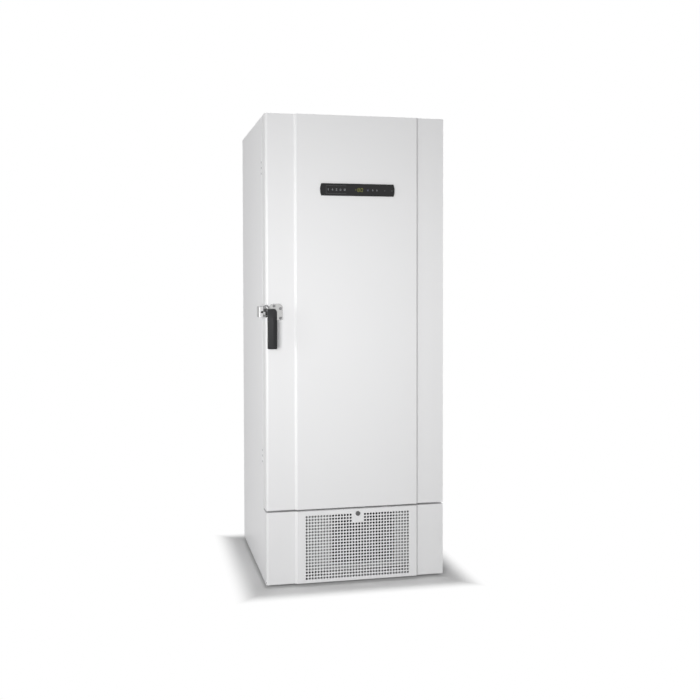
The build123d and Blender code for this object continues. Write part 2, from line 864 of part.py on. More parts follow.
# Service panel with its field of perforations
column_gaps = round((centre_panel_width - 2 * perforation_side_margin) / perforation_pitch_x)
perforation_columns = column_gaps + 1
field_width = column_gaps * perforation_pitch_x
field_low = bottom + perforation_first_row
lock_bore_radius = lock_barrel_radius + running_clearance
lock_z = bottom + lock_height
pivot_y = front + panel_pivot_setback
pivot_z = bottom + panel_pivot_rise
panel_middle = (bottom + base_top) / 2


def is_perforated(column, row):
    """True where the field has a hole, and false in the blank notch around the lock."""
    beside_lock = abs(column - (perforation_columns - 1) / 2) < notch_columns / 2
    return not (beside_lock and row >= perforation_rows - notch_rows)


def perforated_face():
    """Centre of the service panel, with its perforations and the hole for the lock."""
    with BuildSketch() as plain:
        Rectangle(centre_panel_width, base_panel_height)
    holes = [Wire.make_circle(lock_bore_radius, Plane((0, lock_z - panel_middle, 0)))]
    for column in range(perforation_columns):
        x = column * perforation_pitch_x - field_width / 2
        for row in range(perforation_rows):
            z = field_low + row * perforation_pitch_z - panel_middle
            if is_perforated(column, row):
                holes.append(Wire.make_circle(perforation_radius, Plane((x, z, 0))))
    return Face(plain.face().outer_wire(), holes)


with BuildPart() as service_panel:
    with BuildSketch(Plane.XY.offset(bottom)):
        add(front_sketch(0, panel_return))
        add(front_sketch(panel_sheet, panel_return + panel_sheet), mode=Mode.SUBTRACT)
        with Locations((front_centre, panel_face)):
            Rectangle(centre_panel_width, 2 * panel_sheet, mode=Mode.SUBTRACT)
    extrude(amount=base_panel_height)
    block(
        (left + panel_sheet, right - panel_sheet),
        (front + panel_sheet, front + panel_return),
        (base_top - panel_sheet, base_top),
    )
    block(
        (left + pivot_flange_gap, right - pivot_flange_gap),
        (front + panel_sheet, front + panel_return),
        (bottom, bottom + panel_sheet),
    )
    rod(
        (left - seam, pivot_y, pivot_z),
        (right + seam, pivot_y, pivot_z),
        panel_pivot_radius + running_clearance,
        mode=Mode.SUBTRACT,
    )
    with BuildSketch(facing_front(front_centre, panel_face + panel_sheet, panel_middle)):
        add(perforated_face())
    extrude(amount=panel_sheet)
write(service_panel, "service_panel")

arm_back = front + base_pan_setback
arm_heights = (pivot_z - pivot_arm_height / 2, pivot_z + pivot_arm_height / 2)
with BuildPart() as panel_pivots:
    for side in (-1, 1):
        outer = cabinet_width / 2 - panel_sheet - pivot_arm_side_gap
        edges = sorted((side * outer, side * (outer - pivot_arm_sheet)))
        block(edges, (pivot_y - pivot_arm_height / 2, arm_back), arm_heights)
        block(edges, (arm_back - pivot_arm_sheet, arm_back), (arm_heights[0], base_pan_height))
        rod(
            (side * (outer - pivot_arm_sheet), pivot_y, pivot_z),
            (side * (cabinet_width / 2 - seam), pivot_y, pivot_z),
            panel_pivot_radius,
        )
write(panel_pivots, "panel_pivots")

with BuildPart() as panel_lock:
    lock_end = panel_face + lock_barrel_length
    lock_seat = (front_centre, panel_face, lock_z)
    rod(lock_seat, (front_centre, panel_face - lock_head, lock_z), lock_head_radius)
    rod(lock_seat, (front_centre, lock_end, lock_z), lock_barrel_radius)
    block(
        (front_centre - lock_cam_width / 2, front_centre + lock_cam_width / 2),
        (lock_end, lock_end + lock_cam_sheet),
        (lock_z - lock_cam_width / 2, lock_z + lock_cam_length),
    )
    block(
        (front_centre - key_slot_width / 2, front_centre + key_slot_width / 2),
        (panel_face - lock_head - seam, panel_face - lock_head / 2),
        (lock_z - key_slot_length / 2, lock_z + key_slot_length / 2),
        mode=Mode.SUBTRACT,
    )
write(panel_lock, "panel_lock")

# Machine compartment
pan_front = front + base_pan_setback
pan_back = back - base_back_gap
pan_flange_low = base_pan_top - base_pan_flange
foot_y = front + foot_setback
with BuildPart() as base_pan:
    block((-side_in, side_in), (pan_front, pan_back), (base_pan_height, base_pan_top))
    block((-side_in, side_in), (pan_front, pan_front + base_pan_sheet), (pan_flange_low, base_pan_top))
    for x in (-support_x, support_x):
        rod(
            (x, foot_y, base_pan_height),
            (x, foot_y, base_pan_top),
            foot_stud_radius + running_clearance,
            mode=Mode.SUBTRACT,
        )
write(base_pan, "base_pan")

rail_back = shell_front + rail_sheet
with BuildPart() as base_front_rail:
    block((-side_in, side_in), (base_front, rail_back), (base_top - rail_sheet, base_top))
    block((-side_in, side_in), (shell_front, rail_back), (base_top - rail_sheet, deck_height))
write(base_front_rail, "base_front_rail")

baffle_front = front + baffle_setback
baffle_top = base_top - rail_sheet
with BuildPart() as air_baffles:
    for wall_side, duct_edge, fold in ((-side_in, duct_left, -1), (side_in, duct_right, 1)):
        edges = sorted((wall_side, duct_edge))
        block(edges, (baffle_front, baffle_front + baffle_sheet), (base_pan_top, baffle_top))
        fold_edges = sorted((duct_edge, duct_edge + fold * baffle_sheet))
        block(fold_edges, (baffle_front, baffle_front + baffle_depth), (base_pan_top, baffle_top))
write(air_baffles, "air_baffles")

with BuildPart() as condenser:
    block((duct_left, duct_right), (condenser_front, condenser_back), (base_pan_top, condenser_top))
write(condenser, "condenser")

with BuildPart() as fan_shroud:
    block((duct_left, duct_right), (condenser_back, shroud_back), (base_pan_top, condenser_top))
    block(
        (duct_left + shroud_sheet, duct_right - shroud_sheet),
        (condenser_back, shroud_back - shroud_sheet),
        (base_pan_top + shroud_sheet, condenser_top - shroud_sheet),
        mode=Mode.SUBTRACT,
    )
    rod(
        (duct_middle, condenser_back, fan_z),
        (duct_middle, shroud_back + seam, fan_z),
        fan_opening_radius,
        mode=Mode.SUBTRACT,
    )
write(fan_shroud, "fan_shroud")

motor_front = shroud_back + motor_gap
hub_back = fan_y + fan_hub_length / 2
with BuildPart() as fan_motor:
    rod((duct_middle, motor_front, fan_z), (duct_middle, motor_front + motor_length, fan_z), motor_radius)
    rod((duct_middle, fan_y, fan_z), (duct_middle, motor_front, fan_z), fan_shaft_radius)
    for angle in strut_angles:
        strut_plane = Plane(origin=(duct_middle, motor_front, fan_z), x_dir=(1, 0, 0), z_dir=(0, 1, 0))
        with BuildSketch(strut_plane):
            with Locations(Location((0, 0, 0), (0, 0, angle))):
                with Locations((fan_opening_radius / 2 + strut_width / 2, 0)):
                    Rectangle(fan_opening_radius + strut_width, strut_width)
        extrude(amount=strut_sheet)
        tip = fan_opening_radius + strut_width / 2
        foot_x = duct_middle + tip * cos(radians(angle))
        foot_z = fan_z - tip * sin(radians(angle))
        rod((foot_x, shroud_back, foot_z), (foot_x, motor_front, foot_z), strut_width / 2)
write(fan_motor, "fan_motor")

with BuildPart() as fan_blades:
    rod(
        (duct_middle, fan_y - fan_hub_length / 2, fan_z),
        (duct_middle, hub_back, fan_z),
        fan_hub_radius,
    )
    fan_plane = Plane(origin=(duct_middle, fan_y, fan_z), x_dir=(1, 0, 0), z_dir=(0, 1, 0))
    with Locations(fan_plane):
        with PolarLocations(0, fan_blades_count):
            Box(
                fan_radius,
                blade_chord,
                blade_sheet,
                rotation=(blade_pitch, 0, 0),
                align=(Align.MIN, Align.CENTER, Align.CENTER),
            )
    rod(
        (duct_middle, fan_y - seam, fan_z),
        (duct_middle, hub_back, fan_z),
        fan_shaft_radius + running_clearance,
        mode=Mode.SUBTRACT,
    )
write(fan_blades, "fan_blades")

half_foot = compressor_foot / 2
with BuildPart() as compressors:
    for x in (-compressor_spread, compressor_spread):
        rod((x, compressor_y, compressor_floor), (x, compressor_y, compressor_top), compressor_radius)
    fillet(compressors.edges().filter_by(GeomType.CIRCLE).group_by(Axis.Z)[-1], compressor_dome)
    for x in (-compressor_spread, compressor_spread):
        block(
            (x - half_foot, x + half_foot),
            (compressor_y - half_foot, compressor_y + half_foot),
            (compressor_floor, compressor_floor + compressor_plate),
        )
write(compressors, "compressors")

with BuildPart() as compressor_mounts:
    for x in (-compressor_spread, compressor_spread):
        for dx in (-mount_spacing / 2, mount_spacing / 2):
            for dy in (-mount_spacing / 2, mount_spacing / 2):
                place = (x + dx, compressor_y + dy)
                rod((*place, base_pan_top), (*place, compressor_floor), mount_radius)
write(compressor_mounts, "compressor_mounts")

exchanger_y = (compressor_y - exchanger_depth / 2, compressor_y + exchanger_depth / 2)
exchanger_top = base_pan_top + exchanger_height
with BuildPart() as heat_exchanger:
    block((-exchanger_width / 2, exchanger_width / 2), exchanger_y, (base_pan_top, exchanger_top))
    fillet(heat_exchanger.edges().filter_by(Axis.Z), exchanger_corner)
write(heat_exchanger, "heat_exchanger")

# Discharge pipes run from the compressors over the fan to the condenser, and suction pipes to the
# heat exchanger. The filter driers stand in front of the heat exchanger.
drier_y = exchanger_y[0] - drier_spacing
crossing_y = shroud_back + motor_length
header_y = (condenser_front + condenser_back) / 2
exit_y = compressor_y - compressor_dome / 2
suction_y = compressor_y + compressor_dome / 2
pipe_routes = []
for side in (-1, 1):
    x = side * compressor_spread
    header_x = duct_middle + side * header_spread
    pocket_x = side * exchanger_width / 4
    discharge = [(x, exit_y, compressor_top), (x, exit_y, pipe_height)]
    discharge += [(x, crossing_y, pipe_height), (header_x, crossing_y, pipe_height)]
    discharge += [(header_x, header_y, pipe_height), (header_x, header_y, condenser_top)]
    suction = [(x, suction_y, compressor_top), (x, suction_y, pipe_height)]
    suction += [(pocket_x, suction_y, pipe_height), (pocket_x, suction_y, exchanger_top)]
    pipe_routes += [discharge, suction]
with BuildPart() as refrigerant_lines:
    for route in pipe_routes:
        with BuildLine():
            pipe_path = FilletPolyline(*route, radius=pipe_bend)
        with BuildSketch(Plane(origin=pipe_path @ 0, z_dir=pipe_path % 0)):
            Circle(pipe_radius)
        sweep(path=pipe_path)
    for x in (-drier_spacing / 2, drier_spacing / 2):
        rod((x, drier_y, base_pan_top), (x, drier_y, base_pan_top + drier_length), drier_radius)
write(refrigerant_lines, "refrigerant_lines")

box_front = front + baffle_setback + baffle_depth
with BuildPart() as electrical_box:
    block(
        (-side_in, electrical_box_width - side_in),
        (box_front, box_front + electrical_box_depth),
        (base_pan_top, base_pan_top + electrical_box_height),
    )
    fillet(electrical_box.edges().filter_by(Axis.Z).group_by(Axis.X)[-1], electrical_box_corner)
write(electrical_box, "electrical_box")

inlet_x = right - inlet_setback
cover_middle = (rear_cover_bottom + deck_height) / 2
with BuildPart() as rear_cover:
    with BuildSketch(facing_front(0, back, cover_middle)):
        Rectangle(2 * side_in, deck_height - rear_cover_bottom)
        with Locations((0, rear_slot_centre - cover_middle)):
            with GridLocations(rear_slot_pitch_x, rear_slot_pitch_z, rear_slot_columns, rear_slot_rows):
                SlotOverall(rear_slot_length, rear_slot_width, mode=Mode.SUBTRACT)
        with Locations((inlet_x, inlet_z - cover_middle)):
            Rectangle(inlet_width, inlet_height, mode=Mode.SUBTRACT)
    extrude(amount=skin)
write(rear_cover, "rear_cover")

# Power inlet and mains switch, one moulding in the rear cover
socket_x = inlet_x + inlet_socket_offset
switch_x = inlet_x - inlet_socket_offset
inlet_low = inlet_z - inlet_height / 2
inlet_high = inlet_z + inlet_height / 2
rocker_half = rocker_width / 2
pocket_half = rocker_half + rocker_clearance
rocker_y = back - rocker_pivot_depth
rocker_reach = rocker_half + rocker_pin_length
rocker_pins = [(switch_x + side * rocker_reach, rocker_y, inlet_z) for side in (-1, 1)]
with BuildPart() as power_inlet:
    block(
        (inlet_x - inlet_width / 2, inlet_x + inlet_width / 2),
        (back - inlet_depth, back),
        (inlet_low, inlet_high),
    )
    block(
        (socket_x - inlet_socket_width / 2, socket_x + inlet_socket_width / 2),
        (back - inlet_socket_depth, back),
        (inlet_z - inlet_socket_height / 2, inlet_z + inlet_socket_height / 2),
        mode=Mode.SUBTRACT,
    )
    block(
        (switch_x - pocket_half, switch_x + pocket_half),
        (back - inlet_socket_depth, back),
        (inlet_z - rocker_pocket, inlet_z + rocker_pocket),
        mode=Mode.SUBTRACT,
    )
    for step in (-1, 0, 1):
        x = socket_x + step * inlet_pin_spacing
        block(
            (x - inlet_pin_width / 2, x + inlet_pin_width / 2),
            (back - inlet_socket_depth, back - inlet_pin_sink),
            (inlet_z - inlet_pin_height / 2, inlet_z + inlet_pin_height / 2),
        )
    rod(*rocker_pins, rocker_pin_radius + running_clearance, mode=Mode.SUBTRACT)
write(power_inlet, "power_inlet")

with BuildPart() as power_switch:
    rocker_out = (0, cos(radians(rocker_tilt)), sin(radians(rocker_tilt)))
    rocker_side = (switch_x - rocker_half, rocker_y, inlet_z)
    with BuildSketch(Plane(origin=rocker_side, x_dir=rocker_out, z_dir=(1, 0, 0))):
        with BuildLine():
            Polyline(
                (-rocker_back, -rocker_rise),
                (rocker_tip, -rocker_rise),
                (rocker_valley, 0),
                (rocker_tip, rocker_rise),
                (-rocker_back, rocker_rise),
                close=True,
            )
        make_face()
    extrude(amount=rocker_width)
    rod(*rocker_pins, rocker_pin_radius)
write(power_switch, "power_switch")

# Levelling feet in front, rollers behind
for name, x in (("foot_left", -support_x), ("foot_right", support_x)):
    with BuildPart() as foot:
        rod((x, foot_y, 0), (x, foot_y, foot_pad_height), foot_pad_radius)
        fillet(foot.edges().filter_by(GeomType.CIRCLE).group_by(Axis.Z)[-1], foot_pad_edge)
        rod((x, foot_y, foot_pad_height), (x, foot_y, foot_stud_top), foot_stud_radius)
    write(foot, name)

cheek_inner = roller_width / 2 + roller_cheek_gap
cheek_outer = cheek_inner + roller_cheek_sheet
cheek_y = (roller_y - roller_cheek_width / 2, roller_y + roller_cheek_width / 2)
with BuildPart() as roller_brackets:
    for x in (-support_x, support_x):
        bridge = (base_pan_height - roller_cheek_sheet, base_pan_height)
        block((x - cheek_outer, x + cheek_outer), cheek_y, bridge)
        for side in (-1, 1):
            cheek = sorted((x + side * cheek_inner, x + side * cheek_outer))
            block(cheek, cheek_y, (roller_radius - 2 * roller_axle_radius, base_pan_height))
        axle = [(x + side * cheek_outer, roller_y, roller_radius) for side in (-1, 1)]
        rod(*axle, roller_axle_radius)
write(roller_brackets, "roller_brackets")

for name, x in (("roller_left", -support_x), ("roller_right", support_x)):
    with BuildPart() as roller:
        ends = [(x + side * roller_width / 2, roller_y, roller_radius) for side in (-1, 1)]
        rod(*ends, roller_radius)
        fillet(roller.edges().filter_by(GeomType.CIRCLE), roller_edge)
        rod(*ends, roller_axle_radius + running_clearance, mode=Mode.SUBTRACT)
    write(roller, name)
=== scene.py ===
# %% [markdown]
# # An upright ultra low temperature freezer
# The solids of the freezer come in as a fixed frame: every one of them is already in its place, in
# metres, and rides on the body that moves it. This lesson dresses them: it gives each one a finish,
# and builds finer pieces over those whose plain solid would look too simple.

# %% Load the frame
import json
import math

import bmesh
import bpy
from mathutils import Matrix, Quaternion, Vector


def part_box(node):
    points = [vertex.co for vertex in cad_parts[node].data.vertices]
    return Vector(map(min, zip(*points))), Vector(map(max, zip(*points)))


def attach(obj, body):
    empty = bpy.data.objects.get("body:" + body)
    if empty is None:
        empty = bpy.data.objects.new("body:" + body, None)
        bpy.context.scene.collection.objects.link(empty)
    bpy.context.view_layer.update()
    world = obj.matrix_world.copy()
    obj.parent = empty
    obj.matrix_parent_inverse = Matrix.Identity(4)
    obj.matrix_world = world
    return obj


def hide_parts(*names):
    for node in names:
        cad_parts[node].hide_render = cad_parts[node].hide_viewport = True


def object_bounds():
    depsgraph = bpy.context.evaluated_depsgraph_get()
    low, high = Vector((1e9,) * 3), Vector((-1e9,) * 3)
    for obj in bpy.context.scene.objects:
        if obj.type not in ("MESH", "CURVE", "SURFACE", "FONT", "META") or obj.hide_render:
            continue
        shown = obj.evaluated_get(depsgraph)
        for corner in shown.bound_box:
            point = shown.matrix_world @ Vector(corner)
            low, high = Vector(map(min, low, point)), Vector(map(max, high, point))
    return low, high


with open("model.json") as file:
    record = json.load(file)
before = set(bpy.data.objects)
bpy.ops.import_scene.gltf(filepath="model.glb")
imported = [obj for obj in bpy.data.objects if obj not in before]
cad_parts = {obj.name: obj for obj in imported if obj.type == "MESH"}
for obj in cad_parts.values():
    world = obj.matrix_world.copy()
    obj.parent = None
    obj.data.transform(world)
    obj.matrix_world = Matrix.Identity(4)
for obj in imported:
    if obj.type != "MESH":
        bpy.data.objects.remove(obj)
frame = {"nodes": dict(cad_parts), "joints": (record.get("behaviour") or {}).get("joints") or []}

cad_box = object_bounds()
nodes = frame["nodes"]
collection = bpy.context.scene.collection
print("solids:", len(nodes), "size:", [round(v, 3) for v in cad_box[1] - cad_box[0]])

# %% [markdown]
# The camera stands about four metres in front of the freezer and a little to its left, at chest
# height. A real product picture keeps the uprights parallel by sliding the lens instead of tilting
# it, and the shift below does the same.

# %% Camera
CAMERA_PLACE = (-0.928, -4.381, 1.286)
CAMERA_YAW = math.radians(12.693)
CAMERA_PITCH = math.radians(-1.739)
CAMERA_ROLL = math.radians(-0.099)
CAMERA_LENS = 50.07
CAMERA_SENSOR = 36
CAMERA_SHIFT = -0.0571

lens = bpy.data.cameras.new("photo_camera")
lens.lens = CAMERA_LENS
lens.sensor_width = CAMERA_SENSOR
lens.shift_y = CAMERA_SHIFT
camera = bpy.data.objects.new("photo_camera", lens)
collection.objects.link(camera)
aim = Vector((
    math.sin(CAMERA_YAW) * math.cos(CAMERA_PITCH),
    math.cos(CAMERA_YAW) * math.cos(CAMERA_PITCH),
    math.sin(CAMERA_PITCH),
))
camera.location = CAMERA_PLACE
camera.rotation_mode = "QUATERNION"
camera.rotation_quaternion = aim.to_track_quat("-Z", "Y") @ Quaternion((0, 0, 1), CAMERA_ROLL)
bpy.context.scene.camera = camera
print("camera looks along", [round(v, 3) for v in aim])

# %% [markdown]
# Node trees are easier to read as arithmetic than as boxes and wires. This class wraps one output
# socket. A sum or product of two of them adds a Math node, so `1 - mask` can be written as it is
# thought, and one method adds any other node. The same class serves the geometry trees further on.


# %% Signals: sockets that can be added and multiplied
class Signal:
    """One output socket of a node tree."""

    def __init__(self, tree, socket=None):
        self.tree = tree
        self.socket = socket

    def node(self, kind, settings=None, inputs=None, output=0):
        """Add a node, set it up, fill its inputs and return one of its outputs."""
        made = self.tree.nodes.new(kind)
        for name, value in (settings or {}).items():
            setattr(made, name, value)
        for name, value in (inputs or {}).items():
            if isinstance(value, Signal):
                self.tree.links.new(value.socket, made.inputs[name])
            else:
                made.inputs[name].default_value = value
        return Signal(self.tree, made.outputs[output] if made.outputs else None)

    def math(self, operation, first, second):
        return self.node("ShaderNodeMath", {"operation": operation}, {0: first, 1: second})

    def __add__(self, other):
        return self.math("ADD", self, other)

    __radd__ = __add__

    def __mul__(self, other):
        return self.math("MULTIPLY", self, other)

    __rmul__ = __mul__

    def __sub__(self, other):
        return self.math("SUBTRACT", self, other)

    def __rsub__(self, other):
        return self.math("SUBTRACT", other, self)

    def __gt__(self, other):
        return self.math("GREATER_THAN", self, other)


print("signals ready")

# %% [markdown]
# The studio starts with a white surround. The camera and shiny metal see it at full strength, while
# matt surfaces get only a soft share of it.

# %% Surround
AMBIENT = 0.27


def seen_directly(tree):
    """One where a ray comes from the camera, off a shiny surface or through a clear one, else zero."""
    path = tree.nodes.new("ShaderNodeLightPath")
    camera_ray, glossy_ray, clear_ray = [
        Signal(tree, path.outputs[f"Is {kind} Ray"]) for kind in ("Camera", "Glossy", "Transmission")
    ]
    return (camera_ray + glossy_ray + clear_ray) > 0.5


world = bpy.data.worlds.new("studio")
world.use_nodes = True
bpy.context.scene.world = world
surround = world.node_tree.nodes["Background"]
surround.inputs["Color"].default_value = (1, 1, 1, 1)
strength = AMBIENT + (1 - AMBIENT) * seen_directly(world.node_tree)
world.node_tree.links.new(strength.socket, surround.inputs["Strength"])
print("matt surfaces get", AMBIENT, "of the surround")

# %% [markdown]
# The floor is pale and matt. Close to the freezer it keeps the shadow, and a hand's breadth further out
# it goes white like the surround.

# %% Floor
FLOOR_SIZE = 60
FLOOR_COLOUR = (0.9, 0.9, 0.9, 1)
FLOOR_ROUGHNESS = 0.9
SHADOW_REACH = 0.12


def clear_of_freezer(tree):
    """Zero on the floor under the freezer, rising to one a hand's breadth outside it."""
    spot = Signal(tree).node("ShaderNodeTexCoord", output="Object")
    parts = spot.node("ShaderNodeSeparateXYZ", inputs={0: spot}).socket.node
    beyond = [
        spot.math("ABSOLUTE", Signal(tree, parts.outputs[axis]), 0) - float(cad_box[1][axis])
        for axis in (0, 1)
    ]
    return spot.node("ShaderNodeMapRange", {"interpolation_type": "SMOOTHSTEP"}, {
        "Value": spot.math("MAXIMUM", *beyond), "From Min": 0.0, "From Max": SHADOW_REACH})


floor_mesh = bpy.data.meshes.new("floor")
half_floor = FLOOR_SIZE / 2
floor_corners = [(-half_floor, -half_floor, 0), (half_floor, -half_floor, 0)]
floor_corners += [(half_floor, half_floor, 0), (-half_floor, half_floor, 0)]
floor_mesh.from_pydata(floor_corners, [], [(0, 1, 2, 3)])
floor = bpy.data.objects.new("floor", floor_mesh)
collection.objects.link(floor)

floor_paint = bpy.data.materials.new("floor_paint")
floor_paint.use_nodes = True
tree = floor_paint.node_tree
matt = tree.nodes["Principled BSDF"]
matt.inputs["Base Color"].default_value = FLOOR_COLOUR
matt.inputs["Roughness"].default_value = FLOOR_ROUGHNESS
glow = tree.nodes.new("ShaderNodeEmission")
share = seen_directly(tree) * clear_of_freezer(tree)
mix = Signal(tree).node("ShaderNodeMixShader", inputs={
    0: share, 1: Signal(tree, matt.outputs[0]), 2: Signal(tree, glow.outputs[0])})
tree.links.new(mix.socket, tree.nodes["Material Output"].inputs["Surface"])
floor_mesh.materials.append(floor_paint)
print("floor of", FLOOR_SIZE, "m")

# %% [markdown]
# The key lamp stands in front, a little to the left, as the soft shadow beside the lever tells. A tall
# strip lamp lights the left side and draws the bright line down the left bevel. A grid narrows each
# beam, so the sheets are lightest at chest height.

# %% Lamps
LAMP_SPREAD = math.radians(84)
# Power in watts, width and height, place, and the point that the lamp is aimed at.
LAMPS = {
    "key_lamp": (17.8, (1.2, 1.2), Vector((-1.45, -3.4, 1.2)), Vector((0.16, -0.38, 1.18))),
    "strip_lamp": (3.6, (0.6, 2.2), Vector((-3.1, -1.3, 1.1)), Vector((-0.385, 0.0, 1.1))),
}
for name, (power, (wide, tall), place, target) in LAMPS.items():
    lamp_data = bpy.data.lights.new(name, "AREA")
    lamp_data.energy = power
    lamp_data.shape = "RECTANGLE"
    lamp_data.size = wide
    lamp_data.size_y = tall
    lamp_data.spread = LAMP_SPREAD
    lamp = bpy.data.objects.new(name, lamp_data)
    collection.objects.link(lamp)
    lamp.location = place
    lamp.rotation_mode = "QUATERNION"
    lamp.rotation_quaternion = (target - place).to_track_quat("-Z", "Y")
bpy.context.scene.view_settings.view_transform = "Standard"
print("lamps:", *LAMPS)

# %% [markdown]
# Every finish starts the same way: a Principled shader and the piece's own coordinates, in metres.
# Noise that is stretched along one direction reads as brushing, noise of a few millimetres reads as
# the orange peel of powder coating, and slow noise of half a metre keeps a large sheet from being
# one dead flat colour.


# %% Helpers for finishes
def blank_finish(name):
    """New material, its Principled shader and the piece's own coordinates."""
    material = bpy.data.materials.new(f"{name}_finish")
    material.use_nodes = True
    tree = material.node_tree
    place = Signal(tree).node("ShaderNodeTexCoord", output="Object")
    return material, tree.nodes["Principled BSDF"], place


def grain(place, scale, detail=2.0, stretch=(1, 1, 1)):
    """Noise from 0 to 1; a stretch above 1 packs it closer along that axis."""
    spot = place.node("ShaderNodeMapping", inputs={"Vector": place, "Scale": stretch})
    return place.node("ShaderNodeTexNoise", inputs={"Vector": spot, "Scale": scale, "Detail": detail})


def tint(signal, dark, light):
    """Colour that runs from dark to light with the signal."""
    ends = {0: signal, 6: (*dark, 1), 7: (*light, 1)}
    return signal.node("ShaderNodeMix", {"data_type": "RGBA"}, ends, output=2)


def relief(height, strength, distance):
    """Small bumps that follow the height signal, in metres."""
    return height.node("ShaderNodeBump", inputs={
        "Height": height, "Strength": strength, "Distance": distance})


def plug_in(shader, **signals):
    """Link signals to the shader's sockets; Base_Color stands for Base Color."""
    for name, signal in signals.items():
        signal.tree.links.new(signal.socket, shader.inputs[name.replace("_", " ")])


def shaded(colour, factor):
    """The same colour, lighter or darker."""
    return tuple(min(1.0, channel * factor) for channel in colour)


print("finish helpers ready")

# %% [markdown]
# Powder coat covers everything that the eye meets first: cabinet, door and service panel. It is
# nearly white and half matt, with the faint orange peel that the powder leaves when it melts.

# %% Powder coat
CLOUD_SCALE = 1.7
PEEL_SCALE = 380
PEEL_DEPTH = 0.0004
SHEEN_SCALE = 40


def powder_coat(name, colour):
    """Nearly white paint with orange peel."""
    material, shader, place = blank_finish(name)
    cloud = grain(place, CLOUD_SCALE, detail=3)
    peel = grain(place, PEEL_SCALE, detail=1)
    plug_in(
        shader,
        Base_Color=tint(cloud, shaded(colour, 0.985), shaded(colour, 1.012)),
        Roughness=0.30 + 0.12 * grain(place, SHEEN_SCALE),
        Normal=relief(peel, 0.05, PEEL_DEPTH),
    )
    return material


white_coat = powder_coat("white_coat", (0.84, 0.84, 0.845))
# The side, back and rear cover panels get a lighter copy of the same coat: painted light on the lit side.
painted_light_coat = powder_coat("painted_light_coat", (0.90, 0.90, 0.91))
print("coats:", white_coat.name, painted_light_coat.name)

# %% [markdown]
# Bare metal is told apart by its brushing. Sheet steel in the chamber is brushed sideways, the latch
# plate up and down, and the hinge leaves are tumbled to an even satin.

# %% Bare metals
STROKE_SCALE = 30
STROKE_DEPTH = 0.0002
BLOTCH_SCALE = 9


def brushed_metal(name, colour, roughness, stretch, contrast=0.12):
    """Bare metal whose brushing follows the stretch."""
    material, shader, place = blank_finish(name)
    strokes = grain(place, STROKE_SCALE, detail=4, stretch=stretch)
    blotch = grain(place, BLOTCH_SCALE)
    shader.inputs["Metallic"].default_value = 1.0
    plug_in(
        shader,
        Base_Color=tint(strokes, shaded(colour, 1 - contrast), shaded(colour, 1 + contrast)),
        Roughness=roughness + 0.16 * strokes + 0.08 * blotch,
        Normal=relief(strokes, 0.12, STROKE_DEPTH),
    )
    return material


chamber_steel = brushed_metal("chamber_steel", (0.50, 0.505, 0.51), 0.34, (0.4, 0.4, 30))
latch_stainless = brushed_metal("latch_stainless", (0.55, 0.55, 0.545), 0.05, (60, 60, 1))
keeper_chrome = brushed_metal("keeper_chrome", (0.40, 0.40, 0.40), 0.30, (8, 8, 8), 0.05)
hinge_satin = brushed_metal("hinge_satin", (0.62, 0.63, 0.64), 0.32, (20, 20, 20))
dark_steel = brushed_metal("dark_steel", (0.20, 0.20, 0.205), 0.38, (25, 25, 25))
lock_metal = brushed_metal("lock_metal", (0.13, 0.13, 0.13), 0.34, (30, 30, 30))
copper = brushed_metal("copper", (0.74, 0.42, 0.25), 0.28, (15, 15, 15))
zinc = brushed_metal("zinc", (0.55, 0.56, 0.57), 0.36, (6, 6, 6), 0.18)
print("metals ready")

# %% [markdown]
# Plastics differ in their moulded grain. The lever has a fine leathery grain, the window in front of
# the display is polished, and the pale plastics inside the door are smooth but not glossy.

# %% Plastics, rubber, foam and paint
WASH_SCALE = 12


def moulded(name, colour, roughness, grain_scale, depth, spread=0.06, shine=0.5):
    """Plastic, rubber or paint with fine pits of the given scale and depth."""
    material, shader, place = blank_finish(name)
    shader.inputs["Specular IOR Level"].default_value = shine
    pits = grain(place, grain_scale, detail=3)
    wash = grain(place, WASH_SCALE)
    plug_in(
        shader,
        Base_Color=tint(wash, shaded(colour, 1 - spread), shaded(colour, 1 + spread)),
        Roughness=roughness + 0.12 * pits,
        Normal=relief(pits, 0.25, depth),
    )
    return material


charcoal = moulded("charcoal", (0.019, 0.019, 0.020), 0.50, 1500, 0.00006, shine=0.25)
panel_black = moulded("panel_black", (0.014, 0.014, 0.015), 0.34, 1200, 0.00003, shine=0.25)
window_gloss = moulded("window_gloss", (0.018, 0.018, 0.0185), 0.16, 300, 0.00001, 0.12, shine=0.25)
pale_plastic = moulded("pale_plastic", (0.78, 0.79, 0.80), 0.42, 700, 0.00004, 0.02)
plug_plastic = moulded("plug_plastic", (0.50, 0.50, 0.51), 0.45, 700, 0.00004)
seal_rubber = moulded("seal_rubber", (0.36, 0.37, 0.38), 0.62, 900, 0.00006)
mount_rubber = moulded("mount_rubber", (0.012, 0.012, 0.012), 0.70, 700, 0.0001, shine=0.15)
foam = moulded("foam", (0.80, 0.70, 0.46), 0.85, 420, 0.0006, 0.12)
black_plastic = moulded("black_plastic", (0.03, 0.03, 0.031), 0.45, 900, 0.00005)
# The condenser fins are nearly black: painted shade for the dark space behind the perforations.
fin_painted_shade = moulded("fin_painted_shade", (0.014, 0.014, 0.0145), 0.55, 300, 0.0001, shine=0.15)
duct_grey = moulded("duct_grey", (0.36, 0.36, 0.365), 0.55, 500, 0.00008)
black_paint = moulded("black_paint", (0.03, 0.03, 0.031), 0.30, 260, 0.0001)
board_green = moulded("board_green", (0.03, 0.16, 0.07), 0.30, 220, 0.0001, 0.25)
icon_print = moulded("icon_print", (0.24, 0.245, 0.26), 0.50, 900, 0.00002)
faint_print = moulded("faint_print", (0.085, 0.085, 0.09), 0.50, 900, 0.00002)
lamp_blue = moulded("lamp_blue", (0.12, 0.13, 0.19), 0.40, 900, 0.00002)
digit_light = moulded("digit_light", (0.11, 0.115, 0.02), 0.50, 900, 0.00002)
digit_shader = digit_light.node_tree.nodes["Principled BSDF"]
digit_shader.inputs["Emission Color"].default_value = (0.42, 0.43, 0.05, 1)
digit_shader.inputs["Emission Strength"].default_value = 0.13
print("plastics ready")

